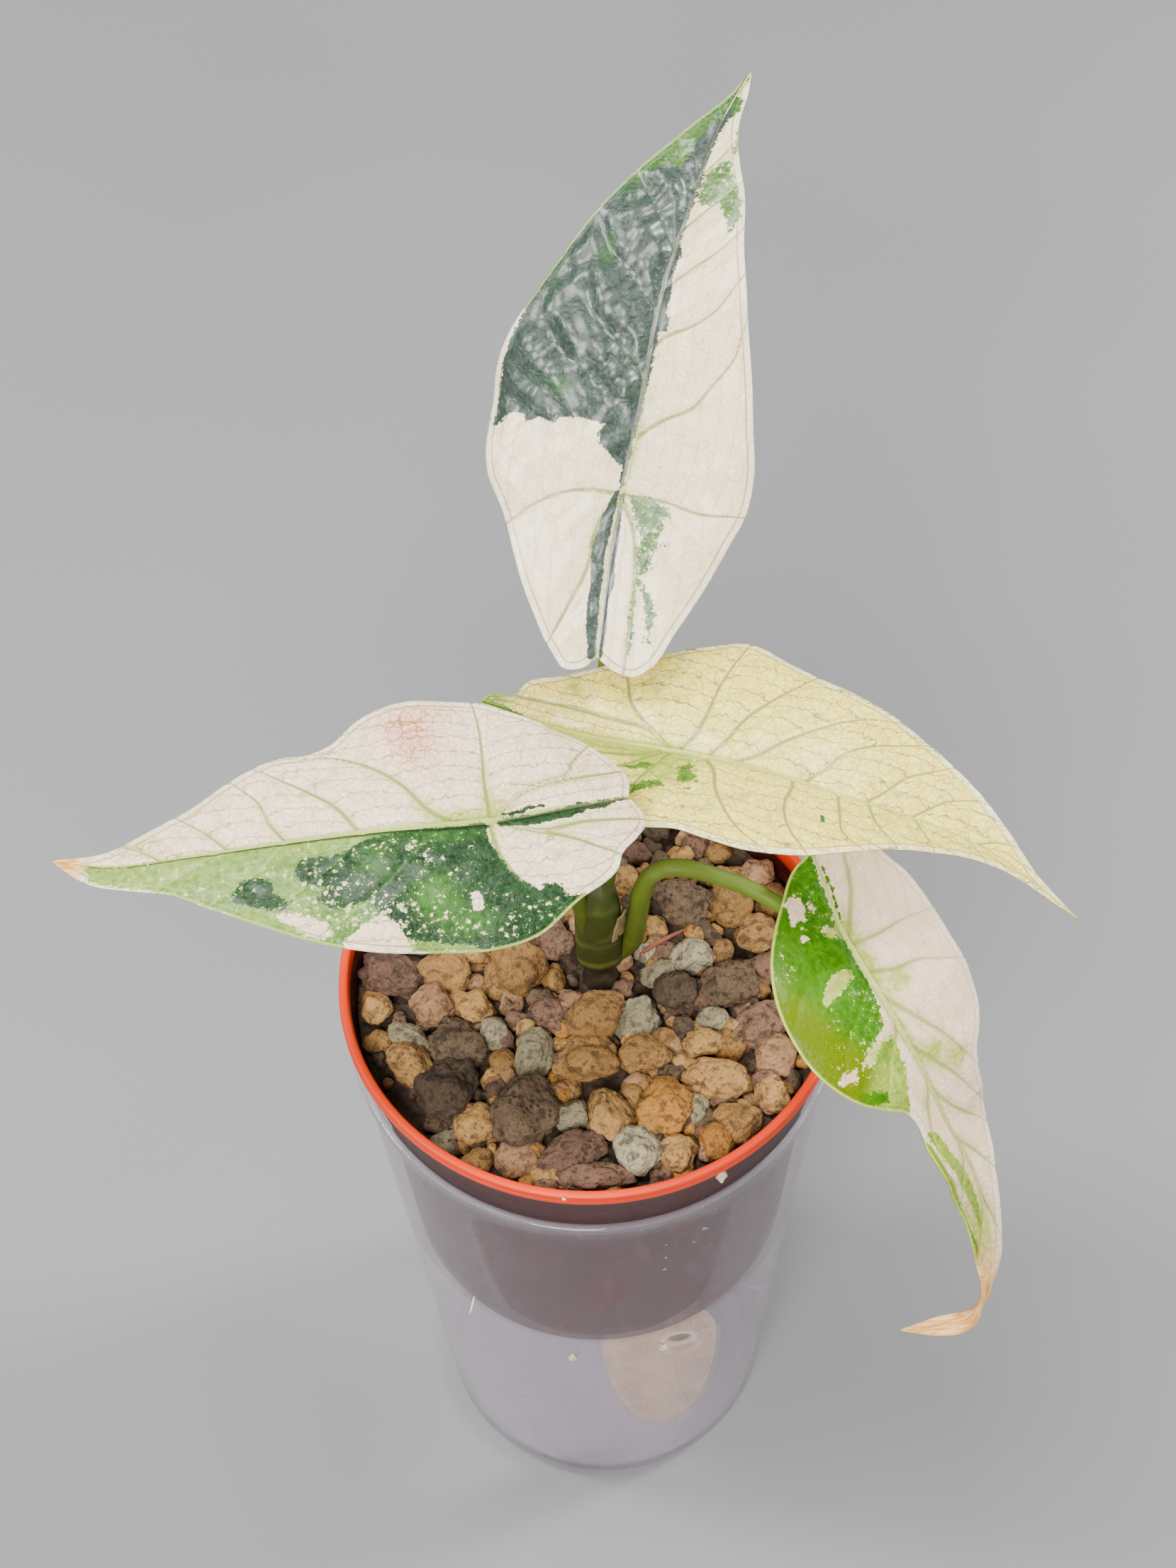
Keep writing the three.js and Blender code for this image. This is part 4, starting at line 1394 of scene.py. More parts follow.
@dataclass(frozen=True)
class BladeFinish:
    """The colours of one blade's tissue, as display colours, and how it shines."""

    cream: str
    cream_low: str
    vein: str
    midrib: str
    pale: str
    green: str
    deep: str
    deep_low: str
    bright: str = "8f9800"
    sap_vein: str = "73832f"
    hem: str = "f7efd8"
    blush: str = "c85a44"
    halo: str = "b9c268"
    sap: str = "a8b44a"
    furrow: str = "6d7a34"
    straw: str = "cf8f44"
    straw_light: str = "f3c684"
    underside: str = "b9bd9a"
    gloss: float = 0.26
    pebble: float = 0.14
    net: float = 0.5
    flush: float = 0.3
    coat: float = 0.35
    shine: float = 0.5
    ribbing: float = 0.85

    def material(self, name: str) -> bpy.types.Material:
        """Glossy blade tissue with ribs, a fine net of veins and ragged markings.

        Args:
            name: the material's name.

        Returns:
            The material.
        """
        tree = Tree(name)
        flat = tree.place("flat")
        bent = tree.warped(flat, 0.7, 0.45)
        edge, top = tree.number("edge"), tree.number("top")
        broad = tree.noise(flat, 0.28, 2.0)
        coarse = tree.noise(flat, 0.8, 3.0) - 0.5
        cell, grain = tree.cells(flat, 1.15), tree.cells(flat, 2.7)
        jag = coarse * 2.2 + (cell - 0.5) * 1.0 + (grain - 0.5) * 0.9
        ragged = jag * tree.number("ragged")
        green = (tree.number("green") + ragged).ease(-0.07, 0.07)
        deep = (tree.number("deep") + ragged).ease(-0.08, 0.08)
        web = tree.net(bent, 0.8)
        fleck, lush = tree.number("fleck"), tree.number("lush")
        jitter = coarse * 1.1 + (cell - 0.5) * 0.45
        dots = (fleck * 0.5 + jitter - tree.pits(tree.warped(flat, 1.6, 0.5), 1.15)).ease(-0.02, 0.05)
        grit = (fleck * 0.38 + jitter * 0.8 - tree.pits(tree.warped(flat, 3.0, 0.2), 2.3)).ease(-0.02, 0.05)
        specks = dots.highest(grit) * fleck.ease(0.03, 0.16)
        pale = tree.number("pale")
        faint = (pale * (0.75 + coarse * 2.2)).highest(0.0)

        phase, gap = tree.number("rib"), tree.number("gap")
        along_rib = abs((phase + 0.5).fraction() - 0.5) * gap
        reach, thick = tree.number("reach"), tree.number("thick")
        width = (0.46 - reach * 0.28) * thick
        ribs = 1 - along_rib.ease(width * 0.4, width * 1.6)
        part = phase.fraction()
        bow = (part - 0.5) * (part - 0.5) * 1.8 + (phase - part) * 0.37
        rung = abs((tree.number("away") * 0.36 + bow + coarse * 0.75).fraction() - 0.5)
        rungs = (1 - (rung * 3.3).ease(0.05, 0.20)) * gap.ease(2.0, 4.5)
        wander = (phase * 3.0 + coarse * 0.9 + 0.5).fraction()
        thin = (1 - (abs(wander - 0.5) * gap * 0.333).ease(0.05, 0.20)) * (broad.ease(0.3, 0.55) * 0.7 + 0.3)
        threads = 1 - tree.net(bent, 0.40).ease(0.008, 0.045)
        fine = 1 - web.ease(0.015, 0.075)
        margin = 1 - abs(edge - 1.15).ease(0.06, 0.22)
        band = 1 - edge.ease(0.9, 1.1)
        halo = (1 - along_rib.ease(0.2, 2.0)) * (1 - reach.ease(0.2, 0.9)) * self.flush
        lines = ribs.highest(margin * 0.8).highest(rungs * (self.net * 0.9 + 0.15)).highest(thin * 0.4)
        lines = lines.highest(threads * (self.net * 0.62)).highest(fine * (self.net * 0.5))
        spine = tree.number("spine")
        midrib = 1 - spine.ease(0.80, 1.10)
        # A darker line just beside the midrib: partly the rib's own darker edge, partly painted shade in the
        # crease.
        groove = 1 - abs(spine - 1.2).ease(0.05, 0.34)
        seam = 1 - abs(spine - 1.6).ease(0.2, 0.7)

        sap = (tree.number("sap") * (1 + coarse * 1.6)).ease(0.06, 0.9)
        vein = tree.mix((sap + halo).ease(0.0, 0.7), self.vein, self.sap_vein)
        flushed = tree.number("blush") * (0.35 + threads * 0.5 + fine * 0.3)
        cream = tree.layers(
            self.cream, (broad.ease(0.3, 0.7), self.cream_low), (band * 0.45, self.hem),
            (flushed, self.blush), (halo * 0.4, self.halo), (sap, self.sap), (lines * self.ribbing, vein))
        dark = tree.layers(
            self.deep, ((cell * 0.5 + coarse * 1.4 + 0.2).ease(0.0, 0.9), self.deep_low),
            ((grain - coarse).ease(0.8, 1.2) * 0.4, self.green), (lines * 0.25, self.green),
            ((lush * 1.2 + coarse * lush * 2.0).ease(0.1, 0.9), self.green))
        leafy = tree.layers(
            self.green, (faint, self.pale), ((cell * 0.5 + coarse).ease(0.1, 0.7) * 0.25, self.pale),
            (lines * (0.3 + pale * 0.5), self.pale), (deep, dark),
            ((tree.number("gold") + coarse * 0.4).ease(0.15, 0.8), self.bright),
            (specks, tree.mix(cell * 0.7, self.pale, cream)), (1 - edge.ease(0.25, 0.6), self.pale))
        dry = (tree.number("dry") + coarse * 0.5).ease(0.2, 0.9)
        streaks = tree.noise(tree.scaled(flat, (1, 0.15, 1)), 1.6, 3.0)
        straw = tree.mix(streaks.ease(0.35, 0.65), self.straw, self.straw_light)
        color = tree.layers(
            cream, (green, leafy), (midrib * (1 - deep * green * 0.85), self.midrib),
            (groove * (0.5 + green * 0.4), tree.mix(green, self.furrow, self.deep)),
            (seam * green * 0.7, self.deep), (dry, straw), ((1 - top) * 0.45, self.underside))

        pillows = web.ease(0.0, 0.42)
        relief = pillows * 0.45 + tree.noise(flat, 1.1, 2.0) * 0.55 - lines * 0.25
        relief = relief + tree.noise(flat, 3.6, 2.0) * 0.16
        rough = self.gloss + broad * 0.06 + deep * green * 0.12 + dry * 0.25 + (1 - top) * 0.22
        return tree.surface({
            "Base Color": color, "Roughness": rough, "IOR": 1.45, "Specular IOR Level": self.shine,
            "Subsurface Weight": 0.12, "Subsurface Radius": (1.0, 0.7, 0.4), "Subsurface Scale": 0.0012,
            "Coat Weight": self.coat, "Coat Roughness": self.gloss * 0.9,
            "Normal": tree.bump(relief, self.pebble),
        })


TINTS = ("fleck", "pale", "lush", "blush", "sap", "gold", "dry")


@dataclass
class Leaf:
    """One blade. Its spine runs under the midline from the notch to the tip."""

    name: str
    slot: str
    finish: BladeFinish
    keel_end: float
    wave: Point
    spine: Sequence[Sequence[float]]
    left: Sequence[Point]
    right: Sequence[Point]
    ribs_left: Sequence[Sequence[Point]]
    ribs_right: Sequence[Sequence[Point]]
    green: Sequence[Patch]
    deep: Sequence[Patch]
    tints: dict[str, Sequence[Spot]]
    quilt: Point = (0.3, 0.3)
    thickness: float = 0.6
    keel: float = 0.9
    keel_width: float = 1.6
    bend_span: float = 20.0
    wave_length: float = 23.0
    rows: int = 230
    columns: int = 42

    def __post_init__(self) -> None:
        """Measures the spine."""
        self.stations = np.array(self.spine, float)
        self.at = chain_lengths(self.stations[:, :3])
        self.length = float(self.at[-1])

    def in_space(self, across: Array, along: Array, offset: Array) -> Array:
        """Points of the bent blade.

        Args:
            across: distance from the midline, negative on the left half.
            along: distance along the midline from the notch.
            offset: height over the blade's middle, along its own normal.

        Returns:
            The points in millimetres.
        """
        values = through(self.at, self.stations, along)
        ahead = through(self.at, self.stations, along + 0.2)[:, :3]
        ahead = ahead - through(self.at, self.stations, along - 0.2)[:, :3]
        ahead /= np.linalg.norm(ahead, axis=1)[:, None]
        level = np.cross(ahead, [0, 0, 1.0])
        level /= np.linalg.norm(level, axis=1)[:, None]
        upright = np.cross(level, ahead)
        roll = np.radians(values[:, 3])[:, None]
        outward = level * np.cos(roll) - upright * np.sin(roll)
        normal = level * np.sin(roll) + upright * np.cos(roll)
        right = across > 0
        start = np.radians(np.where(right, values[:, 5], values[:, 4]))
        curl = np.radians(np.where(right, values[:, 7], values[:, 6])) / self.bend_span
        reach, side = np.abs(across), np.sign(across)
        angle = start - curl * reach
        cycle = 2 * np.pi * along / self.wave_length + self.wave[1] + side
        lifted = offset + self.wave[0] * np.sin(cycle) * (reach / self.bend_span) ** 2
        out = (np.sin(start) - np.sin(angle)) / curl
        up = (np.cos(angle) - np.cos(start)) / curl
        sideways = side * (out - lifted * np.sin(angle))
        upwards = up + lifted * np.cos(angle)
        return values[:, :3] + outward * sideways[:, None] + normal * upwards[:, None]

    def net(self) -> tuple[Array, Array, list[list[int]], list[int]]:
        """The flattened blade.

        Returns:
            Its points, their share of the way to the margin, its faces and the numbers round its border.
        """
        shares = [*(np.linspace(0, 1, self.columns + 1)[1:-1]), 0.988, 1.0]
        width = len(shares)
        points = [(0.0, self.length * i / self.rows) for i in range(self.rows + 1)]
        reach = [0.0] * len(points)
        faces: list[list[int]] = []
        margins = {}
        for side, outline in ((-1, self.left), (1, self.right)):
            line = np.array(outline, float)
            at = chain_lengths(line)
            drawn = through(at, line, at[-1] * np.arange(1, self.rows) / self.rows)
            first = len(points)
            for i, (along, away) in enumerate(drawn, 1):
                start = self.length * i / self.rows
                points += [(side * away * s, start + (along - start) * s) for s in shares]
                reach += shares

            def corner(i: int, j: int) -> int:
                """The number of a point of this half."""
                return i if i in (0, self.rows) or j == 0 else first + (i - 1) * width + j - 1

            for i in range(self.rows):
                for j in range(width):
                    ring = [corner(i, j), corner(i, j + 1), corner(i + 1, j + 1), corner(i + 1, j)]
                    ring = list(dict.fromkeys(ring if side > 0 else ring[::-1]))
                    if len(ring) > 2:
                        faces.append(ring)
            margins[side] = [corner(i, width) for i in range(1, self.rows)]
        border = [0, *margins[1], self.rows, *margins[-1][::-1]]
        return np.array(points), np.array(reach), faces, border

    @staticmethod
    def rib_field(points: Array, ribs: Sequence[Sequence[Point]]) -> tuple[Array, Array, Array]:
        """Where points lie between the side ribs of one half.

        Args:
            points: distance from the midline and along it.
            ribs: the ribs from the notch to the tip, each drawn outwards.

        Returns:
            A count that is whole on each rib, the room between the two nearest ribs, and the distance
            to the nearest one.
        """
        spacing = 8.0
        away, above = [], []
        for rib in ribs:
            line = along_curve(rib, 24)[:, :2]
            tail = line[-1] + (line[-1] - line[-2]) / np.linalg.norm(line[-1] - line[-2]) * 40
            distance, left = line_distance(points, np.vstack([line, tail]))
            away.append(distance)
            above.append(left)
        below = np.array(above).cumprod(axis=0).sum(axis=0)
        spread = np.array(away)
        rows = np.arange(len(points))
        lower = np.where(below > 0, spread[np.maximum(below - 1, 0), rows], np.inf)
        upper = np.where(below < len(ribs), spread[np.minimum(below, len(ribs) - 1), rows], np.inf)
        inner, outer = np.isfinite(lower), np.isfinite(upper)
        both = inner & outer
        gap = np.where(both, np.where(both, lower, 0) + np.where(both, upper, 0), spacing)
        count = np.where(both, below - 1 + np.where(both, lower, 0) / np.maximum(gap, 1e-6), 0.0)
        count = np.where(inner & ~outer, below - 1 + np.where(inner, lower, 0) / spacing, count)
        count = np.where(outer & ~inner, -np.where(outer, upper, 0) / spacing, count)
        return count, gap, np.minimum(lower, upper)

    @staticmethod
    def patch_field(points: Array, patches: Sequence[Patch]) -> tuple[Array, Array]:
        """How deep points lie in any of the patches.

        Args:
            points: distance from the midline and along it.
            patches: the markings, a later one deciding where two overlap.

        Returns:
            The depths, and how ragged the deciding border is.
        """
        depth = np.full(len(points), -FAR)
        ragged = np.full(len(points), 0.3)
        for patch in patches:
            inside = depth_inside(points, patch.outline)
            nearer = -inside < depth if patch.cut else inside > depth
            depth = np.where(nearer, -inside if patch.cut else inside, depth)
            ragged = np.where(nearer, patch.ragged, ragged)
        return np.clip(depth, -FAR, FAR), ragged

    @staticmethod
    def tint_field(points: Array, spots: Sequence[Spot]) -> Array:
        """The strength of a soft marking.

        Args:
            points: distance from the midline and along it.
            spots: where it lies.

        Returns:
            The strength at each point, from 0 to 1.
        """
        total = np.zeros(len(points))
        for spot in spots:
            far = ((points[:, 0] - spot.x) / spot.width) ** 2 + ((points[:, 1] - spot.y) / spot.height) ** 2
            total += spot.strength * np.exp(-far)
        return np.clip(total, 0, 1)

    def keel_depth(self, across: Array, along: Array) -> Array:
        """How far the midrib stands out below the blade.

        Args:
            across: distance from the midline.
            along: distance along it from the notch.

        Returns:
            The depth in millimetres.
        """
        outer = (self.length - along) / (self.length - self.keel_end)
        fade = np.where(along > self.keel_end, outer, 0.75 + 0.25 * along / self.keel_end)
        swell = np.cos(np.clip(np.abs(across) / self.keel_width, 0, 1) * np.pi / 2) ** 1.5
        return self.keel * np.maximum(fade, 0) * swell

    def pillow(self, across: Array, along: Array, edge: Array, to_rib: Array, green: Array) -> Array:
        """Relief of the blade: soft pillows between the ribs, and small bumps.

        Args:
            across: distance from the midline, negative on the left half.
            along: distance along it from the notch.
            edge: distance to the margin.
            to_rib: distance to the nearest rib.
            green: depth in the green markings, which are quilted more.

        Returns:
            The height in millimetres.
        """
        amount = np.where(across < 0, self.quilt[0], self.quilt[1]) * (0.4 + 0.6 * ease(green, -1.5, 1.5))
        near = np.minimum(to_rib, np.minimum(np.abs(across), edge * 1.2))
        swell = 1 - np.exp(-(near / 2.6) ** 2)
        swell = amount * (swell - 0.5) * ease(edge, 0, 3) * ease(along, -2, 6)
        swell *= ease(self.length - along, 3, 18)
        bumps = np.sin(across * 0.95 + 0.9 * np.sin(along * 0.45))
        bumps = bumps * np.sin(along * 0.8 + 1.2 * np.sin(across * 0.5))
        swell += (0.06 + 0.30 * amount) * bumps * ease(edge, 0, 4) * ease(np.abs(across), 0, 3)
        return swell * ease(np.hypot(across, along - self.keel_end), 1.5, 7)

    def build(self) -> None:
        """Makes the blade."""
        points, reach, faces, border = self.net()
        across, along = points.T
        away = np.abs(across)
        outline = np.vstack([along_curve(self.left, 260) * [1, -1], along_curve(self.right, 260)[::-1]])
        edge, _ = line_distance(points, outline[:, ::-1])
        mirrored = np.column_stack([away, along])
        halves = [self.rib_field(mirrored, ribs) for ribs in (self.ribs_left, self.ribs_right)]
        rib, gap, to_rib = (np.where(across < 0, a, b) for a, b in zip(*halves))
        green, ragged = self.patch_field(points, self.green)
        deep, _ = self.patch_field(points, self.deep)
        taper = np.clip((self.length - along) / self.length, 0.15, 1)
        inner = along < self.keel_end
        spine = away / np.where(inner, 0.25 + 0.25 * along / self.keel_end, 0.16 + 0.72 * taper ** 1.5)

        swell = self.pillow(across, along, edge, to_rib, green)
        groove = 0.16 * np.exp(-(to_rib / 0.45) ** 2) + 0.22 * np.exp(-(across / 0.55) ** 2) * taper
        half = self.thickness / 2 * np.minimum(1, 0.35 + 0.65 * edge / 1.4)
        under_rib = 0.26 * np.exp(-(to_rib / 0.5) ** 2) * (1 - reach * 0.7) * ease(edge, 0.3, 2)
        upper = self.in_space(across, along, half + swell - groove)
        lower = self.in_space(across, along, swell - half - self.keel_depth(across, along) - under_rib)
        count = len(points)
        below = [[count + corner for corner in face[::-1]] for face in faces]
        rim = [[b, a, count + a, count + b] for a, b in zip(border, border[1:] + border[:1])]
        material = self.finish.material(f"blade_{self.name}_tissue")
        piece = make_piece(f"blade_{self.name}", np.vstack([upper, lower]), [*faces, *below, *rim], material,
                           [f"leaf_{self.name}"])

        thick = 0.32 + 0.68 * ease(self.length - along, 8, self.length * 0.72)
        values = {"green": green, "ragged": ragged, "deep": deep, "rib": rib, "gap": gap, "reach": reach,
                  "edge": edge, "spine": spine, "away": away, "thick": thick}
        values |= {name: self.tint_field(points, self.tints.get(name, ())) for name in TINTS}
        paint(piece, **{name: np.tile(row, 2) for name, row in values.items()})
        flat = np.column_stack([across, along, np.zeros(count)])
        paint(piece, flat=np.vstack([flat, flat + [300, 0, 0]]), top=np.repeat([1.0, 0.0], count))


LEAF_BACK = Leaf(
    name="back", slot="blade_half_green", keel_end=28, wave=(0.5, 0.6), quilt=(1.15, 0.4),
    # The back blade's light grey-green deep and deep_low are partly its own dark green and partly a painted
    # silvery sheen.
    finish=BladeFinish(
        cream="f8e6c2", cream_low="f2dcb0", vein="857d4a", midrib="bfc07e", pale="8aa658", green="2f5a24",
        deep="25332d", deep_low="3d4b45", gloss=0.27, pebble=0.21, net=0.3, flush=0.45, coat=0.6,
    ),
    spine=[
        (3, 25.1, 207, 0, 16, 12, 36, 32), (5.4, 39.6, 213, 0, 18, 12, 36, 32),
        (7.9, 50.1, 218, 0, 18, 14, 32, 28), (11.6, 62.1, 226, 0, 18, 16, 32, 28),
        (15.6, 77.3, 236, 0, 18, 16, 34, 28), (21.3, 91.6, 243, 0, 16, 14, 36, 28),
        (27.1, 106.4, 248, 0, 14, 14, 36, 28), (33.3, 117.7, 250, 0, 12, 12, 32, 28),
    ],
    left=[
        (0, 0), (-2.2, 2.5), (-2.6, 5.4), (0, 7.8), (7.4, 12.1), (15.5, 16.2), (22.5, 19.7), (28.7, 23.7),
        (36, 25.8), (45, 26.8), (52, 25), (60, 21.5), (72, 16.3), (83, 11.1), (92, 5.4), (100, 1.6), (108, 0),
    ],
    right=[
        (0, 0), (-2.2, 3.2), (-2.9, 6.6), (-1, 9.3), (5, 12.5), (12.6, 16.2), (21.4, 19.3), (30.4, 21.9),
        (36, 21.8), (44, 19.6), (54.4, 17.4), (66, 14.6), (76, 10.8), (83, 8.6), (90, 5.5), (97, 3.1),
        (103, 1.8), (108, 0),
    ],
    ribs_left=[
        [(0, 28), (2.8, 23), (3.5, 15), (6, 8), (8, 3)],
        [(0, 28.5), (6, 28.1), (10.3, 26.7), (13.9, 24.6), (17.4, 21.7)],
        [(0, 38.5), (5.3, 43), (10.3, 48), (16, 51.7), (19, 56)],
        [(0, 49), (6, 53.9), (11.7, 58), (16, 62.5)], [(0, 60), (5.3, 64.6), (10.3, 68), (13.5, 72)],
        [(0, 71), (4.5, 76), (9, 81)], [(0, 82), (3, 86), (6, 90.5)],
    ],
    ribs_right=[
        [(0, 28), (2.6, 24), (4.4, 18), (5, 10), (4.8, 2)], [(0, 28.3), (7.6, 28.3), (14, 27.2), (20, 28)],
        [(0, 38), (4.7, 42.1), (9, 44.6), (11.9, 48.9), (14.7, 53.9), (15.4, 59.6)],
        [(0, 53.5), (2.6, 56), (6.9, 58.5), (10.4, 62.4), (12.2, 67)],
        [(0, 64), (3.6, 68), (7.5, 72.5), (10, 77)], [(0, 75), (3, 79), (6.5, 84)],
        [(0, 85), (2.5, 89), (4.2, 93)],
    ],
    green=[
        Patch([(0, 28), (-0.8, 29), (-0.9, 33), (-3, 34.5), (-5.5, 36.5), (-6.2, 38), (-5.2, 39.4),
               (-9.5, 39.8), (-13, 39.2), (-14, 38), (-17, 38.4), (-18.5, 37), (-19.5, 38.8), (-22, 38.2),
               (-23.5, 36.2), (-24.8, 35.2), (-25.2, 38), (-25.6, 44), (-25, 49), (-23.4, 54), (-22.6, 57),
               (-30, 62), (-20, 84), (-10, 98), (-4, 110), (0.2, 110), (0.3, 102), (1.8, 101), (2.2, 98.5),
               (1, 96), (0.5, 92), (0.2, 80), (0.3, 73), (1.5, 70.5), (0.9, 69), (1.3, 66), (2, 62.5),
               (1.7, 60), (2.7, 58.5), (2.3, 57), (1.2, 56.5), (1, 54), (0.9, 50), (0.4, 46), (0.2, 40),
               (0.1, 34)], 0.42),
        Patch([(-0.5, 29), (-1.3, 29), (-2.6, 24), (-3.1, 20), (-3.3, 17), (-2.9, 15), (-2.6, 12), (-2.9, 9),
               (-2.6, 5), (-2, 2), (-1.8, -0.5), (-0.5, -0.5), (-0.5, 4), (-0.6, 8), (-0.7, 12), (-0.6, 15),
               (-0.9, 17), (-0.8, 20), (-0.6, 24)], 0.15),
        Patch([(-0.15, 29), (-0.2, 22), (-0.2, 18), (0, 12), (0, 5), (0.1, -0.5), (0.9, 0), (1.1, 5),
               (0.8, 10), (1.5, 13), (1.1, 17), (1.2, 20), (0.9, 24), (0.6, 29)], 0.15),
        Patch([(0.5, 85), (1.5, 86), (3, 88.5), (4.5, 88.5), (6, 85.5), (7.5, 83), (9, 80), (8.8, 77),
               (7.6, 76.3), (7, 78.5), (5.2, 79.8), (4.5, 81), (3.5, 79.6), (2, 80.3), (0.6, 79.6)], 0.75),
        Patch([(3.5, 98), (4.6, 98), (5.6, 92.5), (4.6, 90), (3.6, 94)]),
        Patch([(1.5, 28.2), (4, 28.5), (6.5, 28.1), (8.6, 27.2), (9, 25.8), (7.6, 25.3), (8.2, 23.5),
               (7.6, 21.5), (9.3, 20.8), (8, 20), (6.8, 19.2), (7.3, 16.8), (6.2, 15), (5.4, 14.5), (4.8, 16),
               (4.5, 19), (5, 21), (4, 22.5), (3.6, 24.5), (2.6, 26)], 0.8),
        Patch([(5, 15), (6, 14), (7, 12), (8, 11), (8.5, 9), (9, 7), (8.3, 3), (7.6, 3.2), (7.8, 6), (7.2, 9),
               (6.5, 11.5), (5.3, 13)], 0.7),
        Patch([(4.4, 15), (5, 14), (5.5, 11), (5.3, 7), (5.7, 3), (5.6, 0.8), (4.9, 0.8), (5, 4), (4.5, 7),
               (4.9, 10)], 0.5),
    ],
    deep=[
        Patch([(0.5, 28), (-0.8, 29), (-0.9, 33), (-6.5, 37), (-26, 33), (-28, 50), (-24, 66), (-16, 77),
               (-8, 84), (-3.5, 86), (-2.5, 91), (-1, 95), (0.6, 99), (1.5, 97), (0.6, 92), (0.4, 73),
               (3, 68), (3, 56), (1, 52), (0.6, 40)], 0.5),
        Patch([(-0.4, 29), (-1.5, 29), (-4, 20), (-3.6, 10), (-2.6, -2), (1.6, -2), (1.6, 20),
               (0.8, 29)], 0.2),
    ],
    tints={
        "pale": [Spot(6, 22, 5, 9, 0.15), Spot(5, 83, 5, 6, 0.3), Spot(-6, 92, 4, 8, 0.1)],
        "lush": [Spot(-11, 68, 2, 4, 0.55), Spot(-14, 45, 3, 2.4, 0.5), Spot(-19, 66, 3, 14, 0.3),
                 Spot(-12, 82, 5, 6, 0.5), Spot(-20, 44, 4, 4, 0.2)],
        "fleck": [Spot(6.5, 20, 4, 9, 0.42), Spot(4, 86, 5, 6, 0.35)],
        "sap": [Spot(0.9, 35, 0.8, 9, 0.4), Spot(0.8, 27, 3, 2.2, 0.2), Spot(0, 106, 2, 3, 0.4),
                Spot(6.5, 95, 2.6, 9, 0.7), Spot(9.5, 84, 1.6, 7, 0.5), Spot(-1.5, 34, 1.5, 4, 0.25),
                Spot(1.6, 42, 0.9, 9, 0.3), Spot(3.4, 12, 1, 10, 0.2)],
        "dry": [Spot(0.2, 109, 1.5, 1.4, 0.7)],
    },
)

